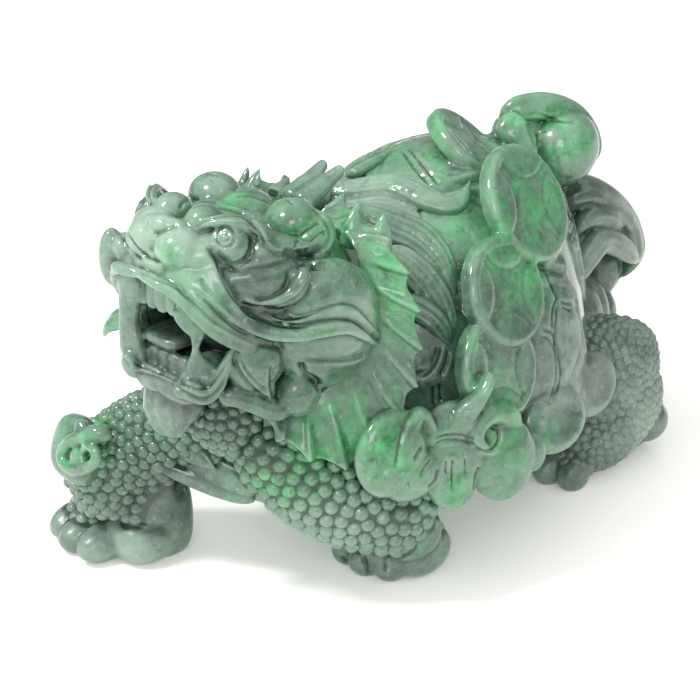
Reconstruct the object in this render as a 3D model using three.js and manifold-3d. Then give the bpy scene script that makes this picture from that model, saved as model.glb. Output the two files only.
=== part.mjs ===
// Dragon turtle, a table carving cut from one block of polished jadeite.
// The dragon looks along -Y, its left is +X, and it stands on the plane z = 0.
import * as THREE from 'three';
import { mergeVertices } from 'three/addons/utils/BufferGeometryUtils.js';
import Module from 'manifold-3d';

const wasm = await Module();
wasm.setup();

// Driving dimensions, in millimetres.
const LENGTH = 160; // upper lip to tail
const COIN_DIAMETER = 24;
const COIN_THICKNESS = 4.5;
const COIN_HOLE = 5; // side of the square hole
const COIN_HOLE_DEPTH = 1.6;
const FRILL_THICKNESS = 2.6;
const FRILL_SCALLOP = 1.9; // depth of each hollow between two spines
const SCUTE_RISE = 1.3; // how far a shell plate stands above the grooves
const SCUTE_GROOVE = 1.6; // width of the groove between two plates
const CLOUD_THICKNESS = 7; // plate of the cloud-shaped sceptre head
const FANG_WIDTH = 8.8; // at the gum
const TOOTH_WIDTH = 2.8;
const TOOTH_DEPTH = 2.4;
const SOLE_CUT = 1.2; // how much of each paw is ground off flat
const MAX_FACETS = 9600; // triangles left after the coarsening
const THINNEST = 0.01; // twice the area of the smallest facet left, in square millimetres
const SHORTEST_FIRST = 1e-4; // weight of an edge's length beside its cost

// The figure's pose and proportions are drawn on a grid of 160 steps from lip to tail.
const GRID = 160;
const UNIT = LENGTH / GRID;

// Shell: half-width, half-length, rise above the rim and drop of the belly, on the grid.
// From waist on it grows narrower towards the tail, by taper for each step of its length.
const shell = { centre: [0, 5, 30], half: [40.5, 49], rise: 52, drop: 13, waist: 8, taper: 0.0155, ease: 4 };

const rad = (degrees) => (degrees * Math.PI) / 180;
const at = ([x, y, z], side = 1) => new THREE.Vector3(x * side, y, z).multiplyScalar(UNIT);

// A closed geometry as a solid, with its faces turned outwards.
function solid(geometry) {
  const bare = geometry.clone();
  for (const name of ['normal', 'uv']) bare.deleteAttribute(name);
  const merged = mergeVertices(bare, 1e-4);
  const points = merged.attributes.position.array;
  const corners = Array.from(merged.index.array);
  const triangles = [];
  let volume = 0;
  for (let i = 0; i < corners.length; i += 3) {
    const [a, b, c] = corners.slice(i, i + 3);
    if (a === b || b === c || c === a) continue;
    triangles.push([a, b, c]);
    const [p, q, r] = [a, b, c].map((k) => new THREE.Vector3().fromArray(points, 3 * k));
    volume += p.dot(q.cross(r));
  }
  const triVerts = new Uint32Array(triangles.flatMap(([a, b, c]) => (volume > 0 ? [a, b, c] : [a, c, b])));
  return new wasm.Manifold(new wasm.Mesh({ numProp: 3, vertProperties: new Float32Array(points), triVerts }));
}

const union = (solids) => solids.reduce((all, one) => all.add(one));

// Moves every vertex of a geometry by a function of its place.
function reshape(geometry, move) {
  const positions = geometry.attributes.position;
  const point = new THREE.Vector3();
  for (let i = 0; i < positions.count; i += 1) {
    const moved = move(point.fromBufferAttribute(positions, i));
    positions.setXYZ(i, moved.x, moved.y, moved.z);
  }
  return geometry;
}

// An egg-shaped mass: centre and radii on the grid, turned by degrees about X, Y and Z.
function ball(centre, radii, { side = 1, turn = [0, 0, 0], sides = 9, rings = 6 } = {}) {
  const geometry = new THREE.SphereGeometry(UNIT, sides, rings);
  const turned = new THREE.Euler(rad(turn[0]), rad(turn[1]) * side, rad(turn[2]) * side);
  const matrix = new THREE.Matrix4().compose(
    at(centre, side),
    new THREE.Quaternion().setFromEuler(turned),
    new THREE.Vector3(...radii),
  );
  return solid(geometry.applyMatrix4(matrix));
}

// The value of an evenly spaced list at t, between 0 and 1.
function along(list, t) {
  const place = Math.min(Math.max(t, 0), 1) * (list.length - 1);
  const index = Math.min(Math.floor(place), list.length - 2);
  return THREE.MathUtils.lerp(list[index], list[index + 1], place - index);
}

// A limb or a lock of hair: an oval section led along a curve, with rounded ends.
// widths lie across the curve, depths along the direction that the lock faces.
function lock(points, widths, depths, face, { side = 1, sides = 6, rings = 8, round = 0.18 } = {}) {
  const curve = new THREE.CatmullRomCurve3(points.map((point) => at(point, side)));
  const facing = new THREE.Vector3(face[0] * side, face[1], face[2]);
  const geometry = new THREE.SphereGeometry(1, sides, rings);
  return solid(
    reshape(geometry, (vertex) => {
      const t = Math.acos(THREE.MathUtils.clamp(vertex.y, -1, 1)) / Math.PI;
      const angle = Math.atan2(vertex.z, vertex.x);
      const end = Math.max(0, Math.abs(2 * t - 1) - 1 + 2 * round) / (2 * round);
      const cap = Math.sqrt(Math.max(0, 1 - end * end));
      const tangent = curve.getTangentAt(t);
      const normal = facing.clone().addScaledVector(tangent, -facing.dot(tangent)).normalize();
      const across = new THREE.Vector3().crossVectors(tangent, normal);
      const wide = along(widths, t) * cap * UNIT * Math.cos(angle);
      const deep = along(depths, t) * cap * UNIT * Math.sin(angle);
      return curve.getPointAt(t).addScaledVector(across, wide).addScaledVector(normal, deep);
    }),
  );
}

// A thin curved sheet: surface(u, v) gives its middle, and the thickness is even in millimetres.
function sheet(surface, thickness, across, down) {
  const geometry = new THREE.BoxGeometry(1, 1, 1, across, down, 1);
  const step = 0.01;
  return solid(
    reshape(geometry, ({ x, y, z }) => {
      const [u, v] = [x + 0.5, y + 0.5];
      const middle = surface(u, v);
      const alongU = surface(u + step, v).sub(surface(u - step, v));
      const alongV = surface(u, v + step).sub(surface(u, v - step));
      return middle.addScaledVector(alongU.cross(alongV).normalize(), z * thickness);
    }),
  );
}

// How much narrower the shell is at y on the grid.
function narrowing(y) {
  return 1 - shell.taper * shell.ease * Math.log1p(Math.exp((y - shell.waist) / shell.ease));
}

// Scales a direction out to the shell, with the given height, and narrows it towards the tail.
function toShell(way, height) {
  const point = way.clone().multiply(new THREE.Vector3(...shell.half,
    height)).add(new THREE.Vector3(...shell.centre));
  point.x *= narrowing(point.y);
  return point.multiplyScalar(UNIT);
}

// A frame on the shell: a point of its surface with the outward normal and two tangents.
// turn is the compass angle from +X towards the tail, climb the angle above the rim, both in degrees.
function onShell(turn, climb) {
  const spot = (a, b) => toShell(
    new THREE.Vector3(Math.cos(rad(b)) * Math.cos(rad(a)), Math.cos(rad(b)) * Math.sin(rad(a)),
      Math.sin(rad(b))),
    shell.rise,
  );
  const level = spot(turn + 1, climb).sub(spot(turn - 1, climb)).normalize();
  const normal = level.clone().cross(spot(turn, climb + 1).sub(spot(turn, climb - 1))).normalize();
  return { point: spot(turn, climb), normal, level, uphill: normal.clone().cross(level) };
}

// Places a geometry whose own X, Y and Z lie along the given directions.
function placed(geometry, point, x, y, z) {
  return geometry.applyMatrix4(new THREE.Matrix4().makeBasis(x, y, z).setPosition(point));
}

// Folds in the edges whose loss changes the shape least, until few enough facets are left.
// A fold costs the squared distance of its new corner from the planes of all facets met there.
function coarsen({ vertProperties, triVerts }, most) {
  const corners = Array.from({ length: vertProperties.length / 3 }, (_, i) => ({
    place: new THREE.Vector3().fromArray(vertProperties, 3 * i),
    planes: new Array(16).fill(0),
    facets: new Set(),
  }));
  const cross = ([a, b, c]) => b.clone().sub(a).cross(c.clone().sub(a));
  for (let i = 0; i < triVerts.length; i += 3) {
    const facet = { corners: Array.from(triVerts.slice(i, i + 3), (k) => corners[k]) };
    const normal = cross(facet.corners.map(({ place }) => place));
    const area = normal.length();
    normal.normalize();
    const plane = [normal.x, normal.y, normal.z, -normal.dot(facet.corners[0].place)];
    for (const corner of facet.corners) {
      corner.facets.add(facet);
      corner.planes = corner.planes.map((sum, k) => sum + area * plane[k >> 2] * plane[k & 3]);
    }
  }
  const distance = (planes, { x, y, z }) => {
    const point = [x, y, z, 1];
    return planes.reduce((sum, value, k) => sum + value * point[k >> 2] * point[k & 3], 0);
  };
  const neighbours = (corner) => new Set([...corner.facets].flatMap((facet) =>
    facet.corners).filter((one) => one !== corner));
  const fold = (from, to) => {
    const planes = from.planes.map((value, k) => value + to.planes[k]);
    const choices = [to.place, from.place, from.place.clone().lerp(to.place, 0.5)];
    const costs = choices.map((place) => distance(planes, place));
    const best = costs.indexOf(Math.min(...costs));
    return { from, to, planes, place: choices[best].clone(),
      cost: costs[best] + SHORTEST_FIRST * from.place.distanceToSquared(to.place) };
  };
  // A fold is allowed where it keeps the surface closed and turns no facet over.
  const allowed = ({ from, to, place }) => {
    const common = [...neighbours(from)].filter((corner) => neighbours(to).has(corner));
    if (common.length !== 2) return false;
    return [...from.facets, ...to.facets].every((facet) => {
      if (facet.corners.includes(from) && facet.corners.includes(to)) return true;
      const before = cross(facet.corners.map((corner) => corner.place));
      const after = cross(facet.corners.map((corner) =>
        (corner === from || corner === to ? place : corner.place)));
      return after.length() > THINNEST && before.dot(after) > 0.3 * before.length() * after.length();
    });
  };
  let count = triVerts.length / 3;
  while (count > most) {
    const folds = corners.flatMap((from) => [...neighbours(from)].map((to) => fold(from, to)));
    folds.sort((one, two) => one.cost - two.cost);
    const busy = new Set();
    for (const one of folds.slice(0, folds.length / 8)) {
      const { from, to, planes, place } = one;
      if (count <= most || busy.has(from) || busy.has(to) || !allowed(one)) continue;
      for (const corner of [...neighbours(from), ...neighbours(to)]) busy.add(corner);
      to.place = place;
      to.planes = planes;
      for (const facet of from.facets) {
        if (facet.corners.includes(to)) {
          for (const corner of facet.corners) if (corner !== from) corner.facets.delete(facet);
          count -= 1;
        } else {
          facet.corners = facet.corners.map((corner) => (corner === from ? to : corner));
          to.facets.add(facet);
        }
      }
      from.facets.clear();
    }
  }
  const left = corners.filter(({ facets }) => facets.size);
  const number = new Map(left.map((corner, i) => [corner, i]));
  const facets = [...new Set(left.flatMap((corner) => [...corner.facets]))];
  const geometry = new THREE.BufferGeometry().setFromPoints(left.map(({ place }) => place));
  return geometry.setIndex(facets.flatMap((facet) => facet.corners.map((corner) => number.get(corner))));
}

// Shell dome above the rim and belly below it, in one rounded mass with the neck and the rump.
function trunk() {
  const globe = new THREE.SphereGeometry(1, 24, 14).rotateX(Math.PI / 2);
  const dome = reshape(globe, (vertex) => toShell(vertex, vertex.z > 0 ? shell.rise : shell.drop));
  return union([
    solid(dome),
    ball([0, -47, 44], [18, 22, 22], { sides: 10, rings: 6 }),
    ball([0, -44, 27], [22, 15, 9]),
    ball([0, -52, 22], [14, 9, 4.5]),
    ball([0, 36, 32], [22, 16, 14]),
  ]);
}

// Hexagonal plates on the dome: one row along the back and two down each flank.
function scutes() {
  const radius = 13;
  const plates = [[90, 38], [90, 66], [270, 84]];
  for (const turn of [-40, -8, 24, 56]) {
    for (const [compass, climb] of [[turn, 23], [turn + 16, 50]]) plates.push([compass, climb],
      [180 - compass, climb]);
  }
  return plates.map(([turn, climb]) => {
    const { point, normal, level, uphill } = onShell(turn, climb);
    const foot = 5 * UNIT;
    const wide = radius * UNIT;
    const plate = new THREE.CylinderGeometry(wide - SCUTE_GROOVE, wide, foot + SCUTE_RISE, 6);
    plate.translate(0, (SCUTE_RISE - foot) / 2, 0);
    return solid(placed(plate, point, level, normal, uphill));
  });
}

// Upturned lobes along the rim of the shell; those of its narrow half turn to the sides.
function rimLobes() {
  const count = 16;
  const size = [9.4, 7.4, 3.6];
  return Array.from({ length: count }, (_, i) => {
    const { point, normal } = onShell((360 * (i + 0.5)) / count, 0);
    const out = normal.clone().setZ(0).normalize().add(new THREE.Vector3(0, 0, 0.35));
    if (point.y > shell.waist * UNIT) out.add(new THREE.Vector3(0.7 * Math.sign(point.x), -0.5, 0.1));
    out.normalize();
    const level = new THREE.Vector3(0, 0, 1).cross(out).normalize();
    const lobe = new THREE.SphereGeometry(UNIT, 8, 6).scale(...size);
    point.addScaledVector(out, 0.9 * UNIT).z += UNIT;
    return solid(placed(lobe, point, level, out.clone().cross(level), out));
  });
}

// A round coin with a raised rim and a shallow square hole.
function coin(point, normal, up, size = 1) {
  const radius = (COIN_DIAMETER / 2) * size;
  const half = COIN_THICKNESS / 2;
  const bevel = COIN_THICKNESS * 0.3;
  const rim = radius * 0.18;
  const dish = COIN_THICKNESS * 0.14;
  const profile = [
    [0, -half],
    [radius, -half],
    [radius, half - bevel],
    [radius - rim, half],
    [radius - rim - dish, half - dish],
    [0, half - dish],
  ].map(([x, y]) => new THREE.Vector2(x, y));
  const disc = new THREE.LatheGeometry(profile, 16);
  const across = up.clone().cross(normal).normalize();
  const upright = normal.clone().cross(across);
  const hole = new THREE.BoxGeometry(COIN_HOLE, COIN_HOLE_DEPTH * 2, COIN_HOLE).translate(0, half - dish, 0);
  const [body, cut] = [disc, hole].map((piece) => solid(placed(piece, point, across, normal, upright)));
  return body.subtract(cut);
}

// Coins that overlap as they climb the left flank, and the fat folded purse on the crest.
function coins() {
  const up = new THREE.Vector3(0, 0.3, 1);
  const chain = [
    { place: [36.5, -20.5, 48.5], face: [0.93, 0.02, 0.32], size: 0.97 },
    { place: [31.8, -13.2, 62], face: [0.9, 0.06, 0.4], size: 1 },
    { place: [24, 3.1, 75], face: [0.86, 0.13, 0.5], size: 1.12 },
    { place: [4, 8.1, 81.3], face: [0.52, 0.4, 0.755], size: 0.96 },
  ];
  const pieces = chain.map(({ place, face: way, size }) => {
    return coin(at(place), new THREE.Vector3(...way).normalize(), up, size);
  });
  return [
    ...pieces,
    ball([26, -12, 54], [8, 10, 12]),
    ball([15, 4, 68], [9, 11, 9]),
    // Purse: its body, the hood behind it, and the ribbon round its mouth.
    ball([10, 34.8, 76.3], [8.8, 9.5, 9.2], { turn: [0, 20, 20], sides: 10 }),
    ball([5, 37.4, 77.9], [9, 10, 8.4], { turn: [0, 20, 20], sides: 10 }),
    ball([4, 33, 70], [9, 11, 9]),
    lock([[2, 21.5, 83.4], [7, 27.7, 87.3], [9.5, 32.7, 86.4], [11, 38.6, 83.4], [12.5, 42.5, 78.6],
      [13.5, 43.1, 73.8]],
      [2, 3.2, 3, 2.6, 2.2, 2], [1.2, 2, 2, 1.8, 1.6, 1.4], [0.6, -0.6, 0.5]),
    lock([[4, 19.2, 85.8], [7, 19.9, 84], [10, 20.6, 81], [13, 21.3, 77.9]],
      [3, 3.6, 3.2, 1], [1.4, 1.8, 1.6, 0.8], [0.6, -0.6, 0.5]),
  ];
}

// Cloud-shaped head of a sceptre below the lowest coin: three lobes, two curls and the stem.
function cloud() {
  const origin = at([37.5, -34.3, 34.2]);
  const face = [0.93, -0.28, 0.2];
  const normal = new THREE.Vector3(...face).normalize();
  const level = new THREE.Vector3(0, 0, 1).cross(normal).normalize();
  const upright = normal.clone().cross(level);
  const half = CLOUD_THICKNESS / UNIT / 2;
  const lobe = (x, y, wide, tall, deep, lean = 0, lift = 0) => {
    const geometry = new THREE.SphereGeometry(UNIT, 10, 6).rotateX(Math.PI / 2);
    geometry.scale(wide, tall, deep).rotateZ(rad(lean)).translate(x * UNIT, y * UNIT, lift * UNIT);
    return solid(placed(geometry, origin, level, upright, normal));
  };
  return [
    lobe(-15.2, 3.9, 8.2, 9.4, half, -24, 0.6),
    lobe(-10.6, -1.9, 7.4, 5.4, half * 0.9, 14),
    lobe(-1.5, -6.1, 5.8, 5.9, half * 0.9),
    lobe(-0.7, -1, 10, 7, half * 0.9),
    lobe(-0.4, 5, 7.6, 6.4, half * 0.8),
    lobe(11.3, -4.2, 8.2, 9.4, half),
    lobe(18.7, -4.8, 3.6, 4.4, half * 0.7, 0, -1),
    // Scrolls of the left and the right lobe, and the stem.
    lock([[33.8, -46.9, 35.7], [33.9, -46.1, 39.6], [34, -44.8, 42.8], [34.1, -42.6, 45.2],
      [34.8, -40.8, 43.8], [35.3, -39.7, 40.8]],
      [3, 2.8, 2.4, 1.8, 1.4, 1.1], [1.6, 2, 2.2, 2.2, 2, 1.8], face),
    lock([[41.4, -25.9, 35.7], [41.4, -27.8, 33.9], [40.6, -30.4, 35.3], [39.7, -31.2, 38.1],
      [40.1, -25.9, 41.1], [42.2, -18.8, 35.1]],
      [1.2, 1.6, 1.9, 2.2, 2.6, 1.6], [1.8, 2.2, 2.6, 2.8, 2.6, 1.4], face, { rings: 10 }),
    lock([[37.7, -33.9, 38.9], [38.4, -33, 42.6], [39.8, -31.3, 45.7], [40.6, -29.5, 48.5],
      [39.9, -26.9, 51.2]],
      [4.6, 3.2, 2, 1.5, 1.2], [2.2, 2.4, 2.4, 2.2, 1.8], face),
  ];
}

// Fan collar behind the jaw: spines at its rim with hollows between them, and two points at its top.
function frill(side) {
  const inner = [[5, -43, 79], [12, -43, 79], [18, -44, 77], [22, -45, 69], [23, -46, 60], [20, -51, 52],
    [15, -59, 47], [11, -65, 49]];
  const outer = [[8, -36, 84], [14.5, -37, 82], [21, -38.5, 80], [28, -39.5, 75.5], [32, -39.5, 66],
    [33.5, -41, 54],
    [32.5, -46, 43], [27, -55, 34.5], [20, -65, 40], [16, -69, 50]];
  const [from, to] = [inner, outer].map((list) => new THREE.CatmullRomCurve3(list.map((point) =>
    at(point, side))));
  const spines = 12;
  const surface = (u, v) => {
    const t = THREE.MathUtils.clamp(u, 0, 1);
    const [root, tip] = [from.getPoint(t), to.getPoint(t)];
    const reach = root.distanceTo(tip);
    const hollow = FRILL_SCALLOP * Math.abs(Math.sin(Math.PI * spines * u)) * Math.max(0, v) ** 2;
    return root.lerp(tip, (v * reach - hollow) / reach);
  };
  const points = [
    [[15.5, -42.1, 75.5], [15, -40.8, 80.9], [14, -38.9, 84.8]],
    [[20, -39.3, 74.4], [20, -38.5, 78.9], [19.5, -37.1, 83.6]],
  ];
  return [
    sheet(surface, FRILL_THICKNESS, spines * 3, 1),
    ...points.map((route) => lock(route, [3, 2.4, 0.3], [1.8, 1.4, 0.4],
      [0.8, -0.5, 0.3], { side, rings: 6 })),
  ];
}

// Cheek, jaw and snout masses of one side of the head.
function face(side) {
  const s = { side };
  const out = [0.87, -0.49, 0];
  const fine = { side, rings: 10 };
  return [
    // Snout, from the nose back to the cheek.
    lock([[8, -76, 79], [13, -72, 72], [17, -64, 66]], [6, 6.5, 6], [3, 4, 4],
      [1, -0.5, 0], { side, sides: 7 }),
    lock([[8.3, -82, 80.6], [10.1, -80.7, 77.9], [11.5, -79.1, 74.9], [13.1, -76.6, 71.8],
      [14.7, -73, 67.9], [16.5, -68.9, 64.1]],
      [3.6, 3.6, 3.2, 2.8, 2.4, 1.6], [3, 3.4, 3.6, 3.6, 3, 2], out, fine),
    ball([8, -73, 81.5], [5, 9, 5.5], { side, turn: [0, 0, -25] }),
    ball([19.5, -54.6, 65], [7.5, 12.2, 13.8], { side, turn: [0, 0, -18], sides: 10, rings: 7 }),
    ball([14.6, -68, 77.5], [3.6, 9, 5], { side, turn: [0, 0, -28] }),
    // Pouch under the eye.
    lock([[14.8, -73.3, 75.6], [16.8, -70.5, 73.8], [18.9, -67.2, 73.8], [20.6, -64.2, 74.8],
      [21.3, -62.5, 77.4], [21, -61.8, 80]],
      [0.8, 1.2, 1.6, 2, 2, 1.6], [1, 1.4, 1.6, 1.8, 1.8, 1.4], out, s),
    // Eye and brow.
    ball([10.7, -70.8, 84.3], [4.4, 4.6, 4.6], s),
    ball([4.5, -72, 88], [3.5, 4, 3.2], s),
    lock([[5, -75.5, 87.2], [9, -73.4, 89.4], [13, -69, 88.6], [15.5, -64.5, 85], [18.5, -60.5, 83.5],
      [20, -58, 83]],
      [0.8, 1.1, 1.5, 1.8, 1.6, 0.8], [0.8, 1.1, 1.5, 1.6, 1.4, 0.8], [0.6, 0, 1], s),
    ball([14.2, -65.5, 82.5], [3.6, 4.2, 3.4], s),
    ball([11, -54.8, 84.4], [5.7, 5.4, 4.6], s),
    // Ear.
    lock([[14.1, -56.2, 79.2], [14.6, -54.8, 81.5], [14.8, -52.4, 83.6], [14, -51, 85.7]],
      [2.2, 3.2, 3.6, 2.6], [3, 4, 4, 3], out, s),
    ball([14.5, -52.5, 81.5], [4.4, 5, 5.4], s),
    // Nose.
    ball([5.4, -77.2, 83.9], [4.8, 5, 4.2], s),
    ball([4.6, -75.5, 86], [4.4, 4.4, 3], s),
    // Jaw: the curl, the strand that runs into it and the leaf above it.
    ball([18.7, -61.4, 51.9], [4.4, 5, 5], s),
    lock([[11.6, -76.5, 54.2], [13.3, -73.8, 53.6], [15.4, -71, 51.9], [17.6, -67.7, 49.9],
      [19.3, -64.4, 49.2]],
      [2.2, 2, 2, 2.2, 2.2], [2, 2, 2, 2.2, 2.2], out, s),
    lock([[14.1, -73.7, 63.2], [15.9, -71.2, 59], [17, -69.1, 56], [17.5, -67.2, 51.9]],
      [2.2, 3.2, 2.6, 0.7], [1.6, 1.8, 1.6, 1], out, s),
    ball([15, -69.5, 60], [4.6, 6, 6], { side, turn: [0, 0, -25] }),
    // Upper lip, from the middle of the snout round to the end by the jaw curl.
    lock([[-2, -84.6, 79.6], [5.4, -85, 79.2], [8.7, -84, 77.8], [10.3, -82.6, 74.8], [11.9, -79.7, 70.6],
      [13.6, -76.7, 66.9],
      [15.5, -72.8, 63.6], [18.9, -65.9, 59.4]],
    [1.1, 1.1, 1.1, 1.1, 1.1, 1.1, 1, 0.5], [1.1, 1.2, 1.4, 1.4, 1.4, 1.4, 1.3, 0.6],
      [0.8, -0.6, -0.1], fine),
    // Band from the snout under the pouch and back over the cheek disc.
    lock([[11.6, -79, 84.5], [12.9, -77.9, 79.4], [14.2, -76.4, 75.6], [15.6, -74.2, 72],
      [19, -68.6, 67.3], [22.7, -61.3, 66],
      [25.9, -53.9, 65.3], [26.7, -46, 59.3]],
    [0.7, 1.4, 1.5, 1.5, 1.4, 1.3, 1.2, 0.4], [1, 1.6, 2, 2, 2, 2, 1.8, 1], out, { side, rings: 11 }),
    lock([[17.2, -69.4, 71.5], [19.4, -66.2, 69.6], [21.5, -62.6, 69], [23.6, -58.3, 69.8],
      [26, -51.2, 67.5], [26.5, -45.8, 61]],
      [0.5, 0.9, 1.1, 1.2, 1, 0.4], [1, 1.4, 1.6, 1.6, 1.4, 0.8], out, s),
    // Lower lip, which turns up into the corner of the mouth.
    lock([[-2, -80.8, 55], [7, -80.6, 54.8], [11, -79.6, 55.4], [12.3, -77.8, 56.7], [13, -76.5, 59.5],
      [13.9, -74.5, 64.7]],
      [2.6, 2.6, 2.3, 2, 1.6, 1], [1.6, 1.6, 1.7, 1.8, 1.8, 1.4], [0.7, -0.7, 0], fine),
  ];
}

// Teeth: two fangs that cross in each corner of the mouth and a row of incisors in each jaw.
function teeth() {
  const fang = (from, to, size, side) => {
    const middle = from.map((value, k) => (value + to[k]) / 2);
    const wide = (FANG_WIDTH / 2 / UNIT) * size;
    return lock([from, middle, to], [wide, wide * 0.56, 0.3], [1.5, 0.9, 0.3],
      [0.8, -0.6, 0], { side, rings: 6, round: 0.1 });
  };
  const incisor = (place, y, z, height) => {
    const tooth = new THREE.BoxGeometry(TOOTH_WIDTH * 0.86, TOOTH_DEPTH, height * UNIT);
    return solid(tooth.translate(place * TOOTH_WIDTH, y * UNIT, z * UNIT));
  };
  return [
    ...[1, -1].flatMap((side) => [
      fang([9.5, -80.2, 72.1], [9, -79.9, 64.8], 1, side),
      fang([9.7, -79.5, 59.9], [9.3, -79, 66.7], 0.77, side),
      ball([8.8, -76.2, 59.3], [3, 4, 3.4], { side }),
    ]),
    ...[-1.5, -0.5, 0.5, 1.5].flatMap((place) =>
      [incisor(place, -80.4, 75, 7.4), incisor(place, -78.2, 57.4, 4.6)]),
  ];
}

// Head: skull, snout, open jaws, tongue, knobs, horn and the tuft under the chin.
function head() {
  return [
    ball([0, -51, 68], [20, 16, 16], { sides: 10, rings: 6 }),
    ball([0, -50, 57], [18, 16, 9]),
    lock([[0, -50, 75], [0, -66, 79.5], [0, -83.5, 79.8]], [18, 13.5, 8], [10, 8, 4],
      [0, 0, 1], { sides: 8 }),
    ball([0, -57, 83.2], [6.5, 7, 5.6]),
    // Ribbed horns that lie back over the neck, with two points beside them.
    ...[1, -1].flatMap((side) => [0, 1, 2, 3, 4, 5].map((i) => {
      const girth = 3.4 - 0.22 * i;
      return ball([-1 - 0.6 * i, -41.4 + 3 * i, 81.3], [girth, 2.6, girth], { side, sides: 8, rings: 5 });
    })),
    lock([[-5.5, -49, 79.5], [-6.5, -47.5, 84], [-7, -46, 88]], [2.6, 1.6, 0.3], [2.4, 1.5, 0.3],
      [1, -0.4, 0], { rings: 5 }),
    lock([[-6, -41.7, 81.1], [-6.5, -39.5, 83], [-7, -37.3, 84.5]], [3, 1.8, 0.3], [2.4, 1.5, 0.3],
      [1, -0.4, 0], { rings: 5 }),
    ball([-12.6, -81, 78.2], [2.4, 3, 6.2]),
    // Lower jaw.
    lock([[0, -52, 55.5], [0, -66, 54.5], [0, -79, 55.6]], [18, 15.5, 11], [7, 5, 2.8],
      [0, 0, 1], { sides: 8 }),
    ball([0, -64, 66], [12, 9, 9]),
    // Tongue.
    lock([[-1, -64, 62], [-1.4, -72, 62.6], [-1.4, -79.8, 62.2]], [5.2, 5.4, 5], [1.8, 1.7, 1.5], [0, 0, 1]),
    // Flesh that closes the far side of the mouth, and the whisker behind it.
    lock([[-5, -82.6, 77], [-7.6, -81.4, 71], [-8.8, -80.8, 65], [-8.6, -80.4, 59], [-7, -80.2, 55.5]],
      [3.4, 2.6, 2.2, 2.8, 3.6], [1.6, 1.4, 1.4, 1.6, 1.8], [0.2, -1, 0]),
    lock([[-18, -61, 58], [-24, -68, 57.5], [-28, -70.5, 55], [-30.5, -70.5, 51]], [4, 4.2, 3, 0.6],
      [1.6, 1.6, 1.4, 0.6], [0, -0.5, 1]),
    // Tuft under the chin, and the leaf on the throat.
    lock([[-2, -73, 52], [0, -77, 47.5], [2.5, -78, 42.5]], [4.5, 6.6, 2], [3, 2.6, 1.2], [0.3, -1, 0]),
    lock([[-8, -64, 50], [-12, -67, 40], [-9, -68, 33], [0, -67, 29]], [3, 4.4, 4, 0.8], [2, 2, 1.6, 0.8],
      [0.3, -1, 0.3]),
    ...face(1),
    ...face(-1),
    ...teeth(),
  ];
}

// Locks of the mane, laid back over the front of the shell.
function mane(side) {
  const s = { side, rings: 8 };
  const upper = [
    lock([[-13.2, -23.8, 76.6], [-2, -19.1, 78.2], [6.5, -14.6, 78.6], [11.8, -13.7, 77.4],
      [16.6, -8.9, 77.6], [14.7, -3.9, 80.3]],
      [3, 2.6, 3.1, 3.1, 1.7, 0.4], [2.4, 2, 2, 1.8, 1.4, 0.6], [0.2, -0.4, 0.9], s),
    lock([[-10.7, -27.9, 73.6], [-0.1, -22.8, 75.2], [8.1, -18.2, 75.6], [13.1, -17.2, 74.4]],
      [3, 3, 2.2, 0.5], [2, 1.8, 1.4, 0.6], [0.1, -0.5, 0.9], s),
    lock([[-3, 1.1, 82.3], [-7.4, -2.2, 81.3], [-8.9, -9.1, 80.2], [-10.2, -16.8, 78.2]],
      [0.6, 2, 2.8, 2.6], [0.6, 1.2, 1.6, 1.8], [-0.3, -0.3, 0.9], s),
  ];
  return [
    ...(side > 0 ? upper : []),
    lock([[4.3, -30.4, 78], [8.6, -27.5, 76.1], [12.2, -24.7, 74.4], [16.3, -22.1, 72.3],
      [20.6, -20.8, 68.6], [25.6, -21.3, 61]],
      [3, 3.6, 4, 4, 3.4, 0.5], [2.2, 2.2, 2, 2, 1.8, 0.7], [0.4, -0.5, 0.7], s),
    lock([[15.9, -35.3, 72.4], [18.5, -31.2, 70.9], [21.2, -28.8, 67.9], [24.1, -27, 64], [28, -25.2, 52.3]],
      [2.6, 3.4, 3.7, 3.4, 0.5], [2.2, 2.2, 2, 1.8, 0.7], [0.6, -0.6, 0.5], s),
    lock([[23.4, -37.4, 64], [25.4, -33.2, 61.3], [27.3, -30.3, 57.1], [28.7, -28.6, 52], [29.1, -28, 45.5]],
      [2.6, 3.2, 3.2, 2.4, 0.5], [2, 2, 1.8, 1.4, 0.7], [0.7, -0.6, 0.4], s),
  ];
}

// A block with rounded edges; squareness 2 makes it an egg.
function block(centre, size, squareness) {
  const geometry = reshape(new THREE.SphereGeometry(1, 12, 8), (vertex) => {
    const reach = vertex.toArray().reduce((sum, value) => sum + Math.abs(value) ** squareness, 0);
    const scaled = vertex.multiplyScalar(reach ** (-1 / squareness) * UNIT);
    return scaled.multiply(new THREE.Vector3(...size)).multiplyScalar(0.5).add(at(centre));
  });
  return solid(geometry);
}

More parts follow.
